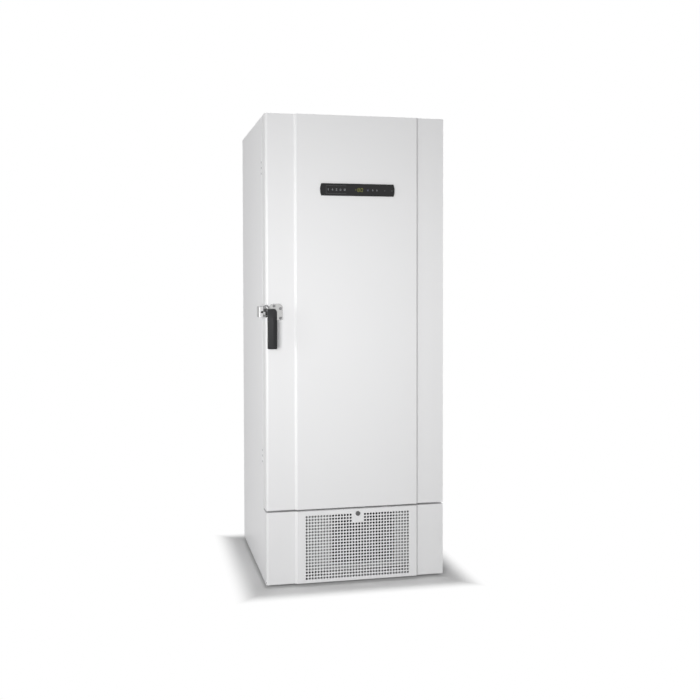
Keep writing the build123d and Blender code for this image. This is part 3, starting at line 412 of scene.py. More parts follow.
# %% [markdown]
# Now the solids get their finishes. A solid whose shape is already right only needs this: its
# material slots are cleared and filled with the one finish that the real part has. The frame brings
# plain materials of its own, so the finishes are handed over as objects and not looked up by name.

# %% Dress the solids
FINISHES = (
    (white_coat, "top_panel door_skin service_panel base_front_rail deck_panel"),
    (duct_grey, "air_baffles base_pan"),
    # The lighter copy of the coat is painted light on the side, back and rear cover panels.
    (painted_light_coat, "side_panel_left side_panel_right back_panel rear_cover"),
    (foam, "cabinet_insulation door_insulation"),
    (pale_plastic, "breaker_frame door_liner access_port"),
    (pale_plastic, "inner_door_1 inner_door_2 inner_door_3 inner_door_4"),
    (plug_plastic, "hinge_hole_plugs"),
    (chamber_steel, "inner_liner shelves shelf_uprights shelf_clips"),
    (chamber_steel, "temperature_probe inner_hinge_brackets"),
    (copper, "evaporator_coil refrigerant_lines"),
    (seal_rubber, "door_gasket"),
    (hinge_satin, "hinge_leaves hinge_pins hinge_screws door_hinge_leaves"),
    (latch_stainless, "latch_plate latch_pin"),
    (keeper_chrome, "latch_keeper"),
    (dark_steel, "latch_bolt latch_screws panel_pivots"),
    (charcoal, "latch_lever"),
    (panel_black, "control_housing"),
    (window_gloss, "control_window"),
    (board_green, "control_board"),
    (lock_metal, "panel_lock"),
    (fin_painted_shade, "condenser"),
    (black_paint, "fan_shroud fan_motor compressors roller_brackets"),
    (black_plastic, "fan_blades power_inlet power_switch heat_exchanger roller_left roller_right"),
    (mount_rubber, "compressor_mounts"),
    (zinc, "electrical_box foot_left foot_right"),
)
dressed = set()
for finish, members in FINISHES:
    for member in members.split():
        mesh = nodes[member].data
        mesh.materials.clear()
        mesh.materials.append(finish)
        dressed.add(member)
print("dressed", len(dressed), "solids, left bare:", sorted(set(nodes) - dressed))

# %% [markdown]
# Many pieces of the freezer are pressed or moulded from one flat rectangle: the door liner with its
# raised plug, the inner doors with their beads, the lever. All of them are a stack of rounded
# rectangles, each at its own depth, joined one to the next. One loft makes them all.

# %% Lofted rectangles
CORNER_STEPS = 6


def rounded_ring(shape, x, z, y, radius):
    """Points of an upright rectangle with rounded corners, at depth y."""
    radii = radius if isinstance(radius, tuple) else (radius,) * 4
    corners = ((x[1], z[1], 0), (x[0], z[1], 90), (x[0], z[0], 180), (x[1], z[0], 270))
    ring = []
    for (corner_x, corner_z, start), bend in zip(corners, radii):
        toward_x = -1 if start in (0, 270) else 1
        toward_z = -1 if start in (0, 90) else 1
        for step in range(CORNER_STEPS + 1):
            angle = math.radians(start + 90 * step / CORNER_STEPS)
            ring.append(shape.verts.new((
                corner_x + bend * (toward_x + math.cos(angle)),
                y,
                corner_z + bend * (toward_z + math.sin(angle)),
            )))
    return ring


def loft(shape, rings):
    """Join rings of equal length into one closed skin, and return its last face."""
    made = [rounded_ring(shape, *ring) for ring in rings]
    for lower, upper in zip(made, made[1:]):
        for spot in range(len(lower)):
            after = (spot + 1) % len(lower)
            shape.faces.new((lower[spot], lower[after], upper[after], upper[spot]))
    shape.faces.new(made[0])
    return shape.faces.new(made[-1])


print("corners are rounded in", CORNER_STEPS, "steps")

# %% [markdown]
# Boxes and rods fill in the rest. A finished shape is welded, its faces are turned outwards and it
# becomes a mesh with one finish. The mesh is then shown as a piece that rides on one of the bodies.

# %% Boxes, rods and finished pieces
SAME_SPOT = 1e-6


def add_box(shape, x, y, z):
    """Plain box between the ends of three ranges."""
    spots = [shape.verts.new((a, b, c)) for a in x for b in y for c in z]
    for face in ((0, 1, 3, 2), (4, 6, 7, 5), (0, 4, 5, 1), (2, 3, 7, 6), (0, 2, 6, 4), (1, 5, 7, 3)):
        shape.faces.new([spots[i] for i in face])


def add_rod(shape, start, end, radius, segments=24):
    """Round rod from one point to another."""
    run = Vector(end) - Vector(start)
    turn = run.to_track_quat("Z", "Y").to_matrix().to_4x4()
    turn.translation = (Vector(start) + Vector(end)) / 2
    bmesh.ops.create_cone(
        shape, cap_ends=True, segments=segments, radius1=radius, radius2=radius,
        depth=run.length, matrix=turn)


def finished_mesh(shape, name, finish, smooth_angle=35):
    """Close the shape, turn its faces outwards and make it a mesh with its finish."""
    bmesh.ops.remove_doubles(shape, verts=shape.verts, dist=SAME_SPOT)
    bmesh.ops.dissolve_degenerate(shape, edges=shape.edges, dist=SAME_SPOT)
    bmesh.ops.recalc_face_normals(shape, faces=shape.faces)
    mesh = bpy.data.meshes.new(name)
    shape.to_mesh(mesh)
    shape.free()
    mesh.materials.append(finish)
    mesh.shade_smooth()
    mesh.set_sharp_from_angle(angle=math.radians(smooth_angle))
    return mesh


def place_piece(mesh, body, stands_for=()):
    """Show a mesh as a piece that rides on a body."""
    piece = bpy.data.objects.new(mesh.name, mesh)
    collection.objects.link(piece)
    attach(piece, body)
    if stands_for:
        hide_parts(*stands_for)
    print(piece.name, "rides on", body, "with", len(mesh.polygons), "faces")
    return piece


print("piece helpers ready")

# %% [markdown]
# The lever is the one thing a hand touches every day. It starts as a plain grip with one large round
# corner. Its flat face is then cut into strips, along the ridge of the roof that it will carry and
# across where that roof fades out.

# %% Lever grip
LEVER_ROUND = 0.013
LEVER_SMALL_ROUNDS = (0.003, 0.003, 0.004)
LEVER_EDGE = 0.002
LEVER_EDGE_BREAK = 0.0006
LEVER_GRIP = 0.022
LEVER_ROOF = 0.0030
LEVER_FADE = 0.046
LEVER_FADE_STEPS = 10
LEVER_BEVEL = 0.008
RIDGE_SHARE = 0.58
low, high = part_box("latch_lever")
grip_back = low.y + LEVER_GRIP
face_y = low.y + LEVER_ROOF
lever_rings = []
for inset, depth in (
    (LEVER_EDGE, grip_back),
    (0, grip_back - LEVER_EDGE),
    (0, face_y + LEVER_EDGE),
    (LEVER_EDGE_BREAK, face_y + LEVER_EDGE_BREAK),
    (LEVER_EDGE, face_y),
):
    ring_x = (low.x + inset, high.x - inset)
    ring_z = (low.z + inset, high.z - inset)
    lever_rings.append((ring_x, ring_z, depth, (LEVER_ROUND - inset, *LEVER_SMALL_ROUNDS)))
shape = bmesh.new()
flat = loft(shape, lever_rings).calc_center_median().y
ridge_x = low.x + RIDGE_SHARE * (high.x - low.x)
face_x = (low.x + LEVER_EDGE, high.x - LEVER_EDGE)
face_z = (low.z + LEVER_EDGE, high.z - LEVER_EDGE)


def on_flat(vert):
    """True for a corner of the flat face."""
    return abs(vert.co.y - flat) < SAME_SPOT


cuts = [((ridge_x, 0, 0), (1, 0, 0)), ((0, 0, face_z[0] + LEVER_BEVEL), (0, 0, 1))]
for step in range(1, LEVER_FADE_STEPS + 1):
    cuts.append(((0, 0, face_z[1] - LEVER_FADE * step / LEVER_FADE_STEPS), (0, 0, 1)))
for spot, facing in cuts:
    flat_verts = [v for v in shape.verts if on_flat(v)]
    inside = set(flat_verts).issuperset
    flat_edges = [e for e in shape.edges if inside(e.verts)]
    flat_faces = [f for f in shape.faces if inside(f.verts)]
    bmesh.ops.bisect_plane(
        shape, geom=[*flat_verts, *flat_edges, *flat_faces], plane_co=spot, plane_no=facing)
print("lever grip with", len(shape.faces), "faces")

# %% [markdown]
# The roof is a flat ramp on each side of a ridge, so that the left ramp catches the lamp and the right
# one falls into shade. The ridge sinks gently into the flat top and ends in a short bevel below. Each
# corner inside the flat face is lifted by the height of the roof there. A boss behind the grip takes
# the pin.

# %% Lever roof and boss
BOSS_RADIUS = 0.007
BOSS_LENGTH = 0.0125
BOSS_SETBACK = 0.0195
BOSS_SINK = 0.001
LEVER_SMOOTH = 12


def roof_height(x, z):
    """Height of the lever's roof over its flat face."""
    left_ramp = (x - face_x[0]) / (ridge_x - face_x[0])
    right_ramp = (face_x[1] - x) / (face_x[1] - ridge_x)
    fade = min(1, (face_z[1] - z) / LEVER_FADE)
    bevel = min(1, (z - face_z[0]) / LEVER_BEVEL)
    return LEVER_ROOF * min(left_ramp, right_ramp) * fade * fade * (3 - 2 * fade) * bevel


inner_verts = [v for v in shape.verts if all(on_flat(w) for f in v.link_faces for w in f.verts)]
for vert in inner_verts:
    vert.co.y = flat - roof_height(vert.co.x, vert.co.z)
pin = next(j for j in frame["joints"] if j["name"] == "latch_lever_pull")["pos_m"]
boss_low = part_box("latch_plate")[0].x + BOSS_SETBACK
boss_x = (boss_low, boss_low + BOSS_LENGTH)
boss_z = (pin[2] - BOSS_RADIUS, pin[2] + BOSS_RADIUS)
add_rod(shape, (boss_x[0], pin[1], pin[2]), (boss_x[1], pin[1], pin[2]), BOSS_RADIUS)
add_box(shape, boss_x, (grip_back - BOSS_SINK, pin[1]), boss_z)
lever = finished_mesh(shape, "door_lever", charcoal, LEVER_SMOOTH)
place_piece(lever, "latch_lever", ["latch_lever"])

# %% [markdown]
# The control panel needs key marks. A real one has them printed on its window or lit behind it. Here
# each mark is a few strokes, and a stroke is a narrow box that stands just proud of the window. The
# keys are touch fields and do not move.

# %% Marks on the control panel
MARK_PROUD = 0.0003
MARK_SUNK = 0.0001
# Strokes of the marks: place from the middle of the panel or of the key, width and height, in mm.
RIGHT_KEY = ((0, -1, 5.5, 1.4), (0, 2, 1.4, 4.0), (0, -4, 3.0, 1.4))
KEYS = (
    (-126, ((0, 0, 2.0, 9.0),)),
    (-108, ((0, 0, 7.0, 1.6), (0, 3.2, 1.6, 4.0), (0, -3.2, 4.5, 1.4))),
    (-91, ((0, 3.4, 6.0, 1.5), (0, 0, 3.5, 1.5), (0, -3.4, 6.0, 1.5))),
    (-74, ((-2.2, 0, 1.6, 8.0), (2.2, 0, 1.6, 8.0), (0, -3.4, 4.4, 1.4))),
    (-56, ((0, 3.2, 6.0, 1.6), (0, -3.2, 6.0, 1.6), (-2.4, 0, 1.6, 5.0), (2.4, 0, 1.6, 5.0))),
    (65, RIGHT_KEY),
    (83, RIGHT_KEY),
)
KEY_FRAME = ((-135, 0, 0.9, 33), (-92, 16.5, 86, 0.9), (-92, -16.5, 86, 0.9))
FAINT_PAIRS = ((117, 0, 4.5, 1.4), (117, -3, 4.5, 1.4), (149, 0, 4.5, 1.4), (149, -3, 4.5, 1.4))
STATUS_LAMP = ((44, 1.5, 6.0, 1.6), (44, -2.5, 4.0, 4.0))
window_low, window_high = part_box("control_window")
panel_x = (window_low.x + window_high.x) / 2
panel_z = (window_low.z + window_high.z) / 2
mark_depth = (window_low.y - MARK_PROUD, window_low.y + MARK_SUNK)


def stroke(shape, x, z, wide, tall, lean=0.0):
    """Thin upright or level bar centred at x, z from the middle of the control panel, in mm."""
    spots = []
    for y in mark_depth:
        for side, rise in ((-1, -1), (1, -1), (1, 1), (-1, 1)):
            across = x + side * wide / 2 + lean * (z + rise * tall / 2)
            spots.append(shape.verts.new((
                panel_x + across / 1000, y, panel_z + (z + rise * tall / 2) / 1000)))
    front, back = spots[:4], spots[4:]
    shape.faces.new(front)
    shape.faces.new(back)
    for i in range(4):
        shape.faces.new((front[i], front[(i + 1) % 4], back[(i + 1) % 4], back[i]))


def print_marks(name, strokes, finish):
    """One piece made of strokes."""
    shape = bmesh.new()
    for sizes in strokes:
        stroke(shape, *sizes)
    place_piece(finished_mesh(shape, name, finish), "main_door")


key_strokes = []
for key_x, key in KEYS:
    key_strokes += [(key_x + x, z, wide, tall) for x, z, wide, tall in key]
print_marks("key_marks", key_strokes, icon_print)
print_marks("faint_marks", KEY_FRAME + FAINT_PAIRS, faint_print)
print_marks("status_mark", STATUS_LAMP, lamp_blue)

# %% [markdown]
# The digits show the usual set point of such a freezer, eighty below zero. Each bar of a digit is a
# stroke at its place around the digit's middle, and a level bar lies while the others stand. The
# digits lean a little to the right.

# %% Digits of the display
SEGMENTS = {"8": "abcdefg", "0": "abcdef"}
BARS = {"a": (0, 1, 1), "b": (1, 0.5, 0), "c": (1, -0.5, 0), "d": (0, -1, 1), "e": (-1, -0.5, 0),
        "f": (-1, 0.5, 0), "g": (0, 0, 1)}
DIGITS = (("8", 4.0), ("0", 17.5))
DIGIT_WIDE = 8.0
DIGIT_TALL = 14.0
DIGIT_BAR = 1.9
DIGIT_LEAN = 0.09
LEVEL_GAP = 1.5
UPRIGHT_GAP = 0.8
LEVEL_BAR = (DIGIT_WIDE - LEVEL_GAP, DIGIT_BAR)
UPRIGHT_BAR = (DIGIT_BAR, DIGIT_TALL / 2 - UPRIGHT_GAP)
MINUS = (-8, 0, 5, DIGIT_BAR)
digit_strokes = [MINUS]
for digit, middle in DIGITS:
    for bar in SEGMENTS[digit]:
        side, rise, level = BARS[bar]
        size = LEVEL_BAR if level else UPRIGHT_BAR
        digit_strokes.append((
            middle + side * DIGIT_WIDE / 2, rise * DIGIT_TALL / 2, *size, DIGIT_LEAN))
print_marks("display_digits", digit_strokes, digit_light)

# %% [markdown]
# What repeats or follows a path is left to Geometry Nodes. Every tree here has the same frame: a mesh
# and named sizes go in, and real faces with one finish come out. The result is then frozen to a plain
# mesh.


# %% Helpers for geometry trees
def new_tree(name, sizes):
    """Geometry tree with a geometry input, named size inputs and a finish."""
    tree = bpy.data.node_groups.new(name, "GeometryNodeTree")
    tree.interface.new_socket("Geometry", in_out="OUTPUT", socket_type="NodeSocketGeometry")
    for socket, kind in (("Geometry", "Geometry"), *sizes, ("Finish", "Material")):
        tree.interface.new_socket(socket, in_out="INPUT", socket_type=f"NodeSocket{kind}")
    entry = tree.nodes.new("NodeGroupInput")
    return tree, {socket.name: Signal(tree, socket) for socket in entry.outputs if socket.name}


def close_tree(tree, instances, finish):
    """Turn instances into real faces, give them their finish and end the tree."""
    real = instances.node("GeometryNodeRealizeInstances", inputs={"Geometry": instances})
    dressed = real.node("GeometryNodeSetMaterial", inputs={"Geometry": real, "Material": finish})
    leave = tree.nodes.new("NodeGroupOutput")
    tree.links.new(dressed.socket, leave.inputs["Geometry"])
    return tree


def grow(name, tree, mesh, **sizes):
    """Run a tree on a mesh and return the result as a plain mesh."""
    host = bpy.data.objects.new(name, mesh)
    collection.objects.link(host)
    modifier = host.modifiers.new("tree", "NODES")
    modifier.node_group = tree
    for socket in tree.interface.items_tree:
        if socket.in_out == "INPUT" and socket.name in sizes:
            modifier[socket.identifier] = sizes[socket.name]
    result = bpy.data.meshes.new_from_object(host.evaluated_get(bpy.context.evaluated_depsgraph_get()))
    bpy.data.objects.remove(host)
    result.name = name
    return result


print("tree helpers ready")

# %% [markdown]
# Screws repeat all over a freezer. A cone with a hexagon cut out of it is one head, and the first tree
# sets that head on every point it is given. Sizes and facing are inputs of the tree, so one tree serves
# the latch, the hinges and the rear cover. The second tree repeats any mesh in a straight row.

# %% A tree for screws and a tree for rows
HEAD_SIDES = 24
HEAD_TAPER = 0.74
SOCKET_SIDES = 6


def screw_tree():
    """Tree that sets a screw head on every point."""
    sizes = (("Radius", "Float"), ("Height", "Float"), ("Recess", "Float"), ("Facing", "Vector"))
    tree, given = new_tree("screw_heads", sizes)
    radius, height = given["Radius"], given["Height"]
    head = radius.node("GeometryNodeMeshCone", inputs={
        "Vertices": HEAD_SIDES, "Radius Top": radius * HEAD_TAPER,
        "Radius Bottom": radius, "Depth": height})
    hexagon = radius.node("GeometryNodeMeshCylinder", inputs={
        "Vertices": SOCKET_SIDES, "Radius": given["Recess"], "Depth": height})
    lift = radius.node("ShaderNodeCombineXYZ", inputs={"Z": height})
    raised = radius.node("GeometryNodeTransform", inputs={"Geometry": hexagon, "Translation": lift})
    cut = radius.node("GeometryNodeMeshBoolean", {"operation": "DIFFERENCE"}, {0: head, 1: raised})
    turn = radius.node("FunctionNodeAlignRotationToVector", {"axis": "Z"}, {"Vector": given["Facing"]})
    heads = radius.node("GeometryNodeInstanceOnPoints", inputs={
        "Points": given["Geometry"], "Instance": cut, "Rotation": turn})
    return close_tree(tree, heads, given["Finish"])


def row_tree():
    """Tree that repeats a mesh in a straight row."""
    tree, given = new_tree("repeat_in_a_row", (("Count", "Int"), ("Start", "Vector"), ("Step", "Vector")))
    row = given["Count"].node("GeometryNodeMeshLine", {"mode": "OFFSET"}, {
        "Count": given["Count"], "Start Location": given["Start"], "Offset": given["Step"]})
    copies = row.node("GeometryNodeInstanceOnPoints", inputs={"Points": row, "Instance": given["Geometry"]})
    return close_tree(tree, copies, given["Finish"])


screw_heads = screw_tree()
repeat_in_a_row = row_tree()
print("trees:", screw_heads.name, repeat_in_a_row.name)

# %% [markdown]
# Where the solids already have screws, the heads go to the middle of each of those solids. A solid
# is found by walking from corner to corner until no new corner turns up.

# %% Helpers for screws
SOCKET_SHARE = 0.45
WELD_REACH = 1e-5


def screws(name, points, facing, radius, height, finish, body, stands_for=()):
    """Screw heads of one size on one body."""
    spots = bpy.data.meshes.new(name + "_points")
    spots.from_pydata(points, [], [])
    mesh = grow(name, screw_heads, spots, Radius=radius, Height=height, Recess=radius * SOCKET_SHARE,
                Facing=facing, Finish=finish)
    return place_piece(mesh, body, stands_for)


def solid_centres(node):
    """Middle of each separate solid of a node."""
    shape = bmesh.new()
    shape.from_mesh(nodes[node].data)
    bmesh.ops.remove_doubles(shape, verts=shape.verts, dist=WELD_REACH)
    left = set(shape.verts)
    centres = []
    while left:
        group, todo = [], [left.pop()]
        while todo:
            spot = todo.pop()
            group.append(spot.co.copy())
            for edge in spot.link_edges:
                other = edge.other_vert(spot)
                if other in left:
                    left.discard(other)
                    todo.append(other)
        lows = [min(p[i] for p in group) for i in range(3)]
        highs = [max(p[i] for p in group) for i in range(3)]
        centres.append(Vector([(a + b) / 2 for a, b in zip(lows, highs)]))
    shape.free()
    return sorted(centres, key=lambda c: (round(c.z, 4), round(c.x, 4)))


print("sockets are", SOCKET_SHARE, "of a head's radius")

# %% [markdown]
# The latch and the cabinet's hinge leaves have their screws among the solids. The door's hinge leaves
# have none, so theirs go to the heights of those on the cabinet.

# %% Screws of latch and hinges
HEAD_HEIGHT = 0.003
LATCH_HEAD = 0.006
LATCH_TAB_HEAD = 0.004
HINGE_HEAD = 0.0045
LEAF_SETBACK = 0.014
TO_FRONT = (0, -1, 0)
TO_RIGHT = (1, 0, 0)
latch_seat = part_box("latch_screws")[1].y
latch_points = sorted((c.x, latch_seat, c.z) for c in solid_centres("latch_screws"))
screws("latch_screw_heads", latch_points[1:], TO_FRONT, LATCH_HEAD, HEAD_HEIGHT,
       dark_steel, "main_door", ["latch_screws"])
screws("latch_tab_screw", latch_points[:1], TO_FRONT, LATCH_TAB_HEAD, HEAD_HEIGHT,
       dark_steel, "main_door", ["latch_screws"])
hinge_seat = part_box("hinge_screws")[0].x
hinge_points = [(hinge_seat, c.y, c.z) for c in solid_centres("hinge_screws")]
screws("cabinet_hinge_screws", hinge_points, TO_RIGHT, HINGE_HEAD, HEAD_HEIGHT,
       hinge_satin, "cabinet", ["hinge_screws"])
leaf_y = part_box("door_hinge_leaves")[0].y + LEAF_SETBACK
door_points = [(hinge_seat, leaf_y, point[2]) for point in hinge_points]
screws("door_hinge_screws", door_points, TO_RIGHT, HINGE_HEAD, HEAD_HEIGHT,
       hinge_satin, "main_door")

# %% [markdown]
# The rear cover has no screws among the solids either, so its points are spaced along its edges: a row
# of five at the top and one at each lower corner.

# %% Rear cover screws
COVER_COLUMNS = 5
COVER_SIDE_MARGIN = 0.03
COVER_EDGE_MARGIN = 0.012
COVER_HEAD_HEIGHT = 0.0022
TO_BACK = (0, 1, 0)
cover_low, cover_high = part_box("rear_cover")
cover_x = (cover_low.x + COVER_SIDE_MARGIN, cover_high.x - COVER_SIDE_MARGIN)
column = (cover_x[1] - cover_x[0]) / (COVER_COLUMNS - 1)
top_z = cover_high.z - COVER_EDGE_MARGIN
bottom_z = cover_low.z + COVER_EDGE_MARGIN
cover_points = [(cover_x[0] + step * column, cover_high.y, top_z) for step in range(COVER_COLUMNS)]
cover_points += [(x, cover_high.y, bottom_z) for x in cover_x]
screws("rear_cover_screws", cover_points, TO_BACK, HINGE_HEAD, COVER_HEAD_HEIGHT,
       zinc, "cabinet")

# %% [markdown]
# The keeper's hole is filled with a black plug: painted shade for the dark inside of the hole. One
# screw sits below the place where the bolt rests. The bolt's end carries a black cap: painted shade for
# the dark gap where the bolt meets the keeper.

# %% Keeper and bolt
HOLE_SHADE_RADIUS = 0.0046
HOLE_SHADE_SETBACK = 0.0055
HOLE_SHADE_PROUD = 0.0006
HOLE_SHADE_DEPTH = 0.02
KEEPER_HEAD = 0.004
KEEPER_SCREW_INSET = 0.0045
KEEPER_SCREW_DROP = 0.0165
KEEPER_STEP_GAP = 0.0005
GAP_SHADE_WIDE = 0.0137
GAP_SHADE_TALL = 0.0122
GAP_SHADE_OVERLAP = 0.0002
GAP_SHADE_SINK = 0.004
GAP_SHADE_EDGE = 0.001
GAP_SHADE_ROUND = 0.002
keeper_low, keeper_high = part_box("latch_keeper")
bolt_low, bolt_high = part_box("latch_bolt")
hole_shade_x = bolt_low.x - HOLE_SHADE_SETBACK
hole_shade_z = (keeper_low.z + keeper_high.z) / 2
# A black plug in the keeper's hole is painted shade for the dark inside of the hole.
shape = bmesh.new()
add_rod(
    shape, (hole_shade_x, keeper_low.y - HOLE_SHADE_PROUD, hole_shade_z), (hole_shade_x, keeper_low.y + HOLE_SHADE_DEPTH, hole_shade_z),
    HOLE_SHADE_RADIUS)
place_piece(finished_mesh(shape, "keeper_hole_shade", mount_rubber), "cabinet")
keeper_point = (
    bolt_low.x + KEEPER_SCREW_INSET,
    bolt_high.y + KEEPER_STEP_GAP,
    bolt_low.z - KEEPER_SCREW_DROP,
)
screws("keeper_screw", [keeper_point], TO_FRONT, KEEPER_HEAD, HEAD_HEIGHT,
       dark_steel, "cabinet")
# A black cap on the bolt's end is painted shade for the gap where the bolt meets the keeper.
gap_shade_x = (bolt_low.x - GAP_SHADE_OVERLAP, bolt_low.x + GAP_SHADE_WIDE)
gap_shade_z = (bolt_low.z - GAP_SHADE_OVERLAP, bolt_low.z + GAP_SHADE_TALL)
tip_x = (gap_shade_x[0] + GAP_SHADE_EDGE, gap_shade_x[1] - GAP_SHADE_EDGE)
tip_z = (gap_shade_z[0] + GAP_SHADE_EDGE, gap_shade_z[1] - GAP_SHADE_EDGE)
shape = bmesh.new()
loft(shape, [
    (gap_shade_x, gap_shade_z, bolt_low.y + GAP_SHADE_SINK, GAP_SHADE_ROUND),
    (gap_shade_x, gap_shade_z, bolt_low.y - GAP_SHADE_EDGE, GAP_SHADE_ROUND),
    (tip_x, tip_z, bolt_low.y - 2 * GAP_SHADE_EDGE, GAP_SHADE_ROUND),
])
place_piece(finished_mesh(shape, "bolt_gap_shade", black_plastic), "latch_bolt")

# %% [markdown]
# A condenser is a stack of thin aluminium fins on a few rows of tube. The fins are nearly black: painted
# shade for the dark space behind the perforations. The row tree repeats one fin and one pair of tubes, so
# there is real depth behind the perforations.

# %% Condenser fins
FIN_PITCH = 0.0026
FIN_SHEET = 0.0004
FIN_MARGIN = 0.002
TUBE_ROWS = 8
TUBE_DEPTHS = (0.3, 0.7)
TUBE_RADIUS = 0.0048
TUBE_SEGMENTS = 12
low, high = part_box("condenser")
shape = bmesh.new()
add_box(shape, (0, FIN_SHEET), (low.y, high.y), (low.z, high.z))
fin = finished_mesh(shape, "one_fin", fin_painted_shade)
fin_count = int((high.x - low.x - 2 * FIN_MARGIN) / FIN_PITCH)
fins = grow("condenser_fins", repeat_in_a_row, fin, Count=fin_count, Start=(low.x + FIN_MARGIN, 0, 0),
            Step=(FIN_PITCH, 0, 0), Finish=fin_painted_shade)
place_piece(fins, "cabinet", ["condenser"])
tube_step = (high.z - low.z) / TUBE_ROWS
shape = bmesh.new()
for share in TUBE_DEPTHS:
    y = low.y + share * (high.y - low.y)
    add_rod(shape, (low.x, y, 0), (high.x, y, 0), TUBE_RADIUS, TUBE_SEGMENTS)
tube = finished_mesh(shape, "one_tube", copper)
tubes = grow("condenser_tubes", repeat_in_a_row, tube, Count=TUBE_ROWS,
             Start=(0, 0, low.z + tube_step / 2), Step=(0, 0, tube_step), Finish=copper)
place_piece(tubes, "cabinet")

# %% [markdown]
# The back of the door is a vacuum-formed sheet. Its plug reaches into the chamber's mouth, so its sides
# slope a little. The corners stay tight, because the foam behind them is square, and a shallow pressed
# field keeps the large face stiff.

# %% Door liner
PLATE_EDGE = 0.001
PLATE_ROUND = 0.002
PLUG_DEPTH = 0.016
PLUG_GAP = 0.0092
PLUG_ROUND = 0.004
FIELD_ROUND = 0.020
# Rings of the plug: how far inside its edge, and how far from the plate or behind the plug's face.
PLUG_FOOT = ((0, 0), (0.0005, 0.003))
PLUG_EDGE = ((0.0012, 0.003), (0.0025, 0.001), (0.005, 0))
FIELD_EDGE = ((0.060, 0), (0.062, 0.0006), (0.066, 0.0016), (0.069, 0.0020))
liner_low, liner_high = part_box("door_liner")
mouth_low, mouth_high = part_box("inner_liner")
plate_back = liner_high.y - PLUG_DEPTH
plug_x = mouth_high.x - PLUG_GAP
plug_z = (mouth_low.z + PLUG_GAP, mouth_high.z - PLUG_GAP)


def plate_ring(inset, y):
    """Rectangle inside the plate's edge."""
    ring_x = (liner_low.x + inset, liner_high.x - inset)
    ring_z = (liner_low.z + inset, liner_high.z - inset)
    return ring_x, ring_z, y, PLATE_ROUND


def plug_ring(inset, y, radius):
    """Rectangle inside the plug's edge."""
    return (-plug_x + inset, plug_x - inset), (plug_z[0] + inset, plug_z[1] - inset), y, radius


liner_rings = [
    plate_ring(PLATE_EDGE, liner_low.y),
    plate_ring(PLATE_EDGE, plate_back - PLATE_EDGE),
    plate_ring(2 * PLATE_EDGE, plate_back),
]
liner_rings += [plug_ring(inset, plate_back + rise, PLUG_ROUND) for inset, rise in PLUG_FOOT]
liner_rings += [plug_ring(inset, liner_high.y - sink, PLUG_ROUND) for inset, sink in PLUG_EDGE]
liner_rings += [plug_ring(inset, liner_high.y - sink, FIELD_ROUND) for inset, sink in FIELD_EDGE]
shape = bmesh.new()
loft(shape, liner_rings)
liner = finished_mesh(shape, "door_back_liner", pale_plastic)
place_piece(liner, "main_door", ["door_liner"])

# %% [markdown]
# Each compartment has its own light inner door. It is a foamed panel with a pressed bead on its face, a
# long vertical pull on the free side and a round edge where its pins sit.

# %% Inner doors
DOOR_EDGE = 0.003
DOOR_BACK_ROUND = 0.002
HINGE_ROUND = 0.011
HINGE_SEGMENTS = 32
PULL_REACH = 0.009
PULL_INSET = 0.030
PULL_WIDE = 0.018
PULL_LONG = 0.110
PULL_THICK = 0.0045
PULL_FOOT = 0.014
PULL_FOOT_SINK = 0.0005
PULL_EDGE = 0.002
PULL_ROUND = 0.004
# Rings of a door's front: how far inside its edge, how far behind its front, and the corners.
DOOR_FRONT = (
    (0, DOOR_EDGE, 0.003),
    (0.001, 0.0008, 0.003),
    (DOOR_EDGE, 0, 0.003),
    (0.050, 0, 0.016),
    (0.053, 0.0028, 0.014),
    (0.060, 0.0028, 0.012),
    (0.063, 0.0006, 0.010),
)


def add_pull(shape, low, middle_z, door_front):
    """Long pull on two feet."""
    x = (low.x + PULL_INSET, low.x + PULL_INSET + PULL_WIDE)
    z = (middle_z - PULL_LONG / 2, middle_z + PULL_LONG / 2)
    foot_y = (low.y + PULL_THICK - PULL_FOOT_SINK, door_front)
    for foot_z in (z[0], z[1] - PULL_FOOT):
        add_box(shape, x, foot_y, (foot_z, foot_z + PULL_FOOT))
    front_x = (x[0] + PULL_EDGE, x[1] - PULL_EDGE)
    front_z = (z[0] + PULL_EDGE, z[1] - PULL_EDGE)
    loft(shape, [
        (x, z, low.y + PULL_THICK, PULL_ROUND),
        (x, z, low.y + PULL_EDGE, PULL_ROUND),
        (front_x, front_z, low.y, PULL_ROUND),
    ])


def inner_door(number):
    """One inner door with its bead, hinge edge and pull."""
    low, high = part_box(f"inner_door_{number}")
    door_front = low.y + PULL_REACH
    hinge_x = high.x - HINGE_ROUND
    hinge_y = door_front + HINGE_ROUND

    def door_ring(inset, y, radius):
        return (low.x + inset, hinge_x - inset), (low.z + inset, high.z - inset), y, radius

    rings = [door_ring(DOOR_EDGE, high.y, DOOR_BACK_ROUND), door_ring(0, high.y - DOOR_EDGE, DOOR_EDGE)]
    rings += [door_ring(inset, door_front + sink, radius) for inset, sink, radius in DOOR_FRONT]
    shape = bmesh.new()
    loft(shape, rings)
    add_rod(shape, (hinge_x, hinge_y, low.z), (hinge_x, hinge_y, high.z), HINGE_ROUND, HINGE_SEGMENTS)
    add_pull(shape, low, (low.z + high.z) / 2, door_front)
    mesh = finished_mesh(shape, f"inner_door_panel_{number}", pale_plastic)
    place_piece(mesh, f"inner_door_{number}", [f"inner_door_{number}"])


for number in range(1, 5):
    inner_door(number)

# %% [markdown]
# The gasket is a soft extrusion that is mitred into a frame: a flat foot in the door's groove, a bulb
# that holds the magnet and a thin lip. Geometry Nodes sweep these three sections round one rounded
# rectangle.

# %% Door gasket
GASKET_HALF = 0.013
GASKET_CORNER = 0.006
SECTION_POINTS = 12
# Foot, bulb and lip: place across the foot, width, thickness and height of the middle.
GASKET_SECTIONS = (
    (0, 0.026, 0.0022, 0.0011),
    (0.002, 0.015, 0.0052, 0.0048),
    (-0.0085, 0.006, 0.0030, 0.0034),
)


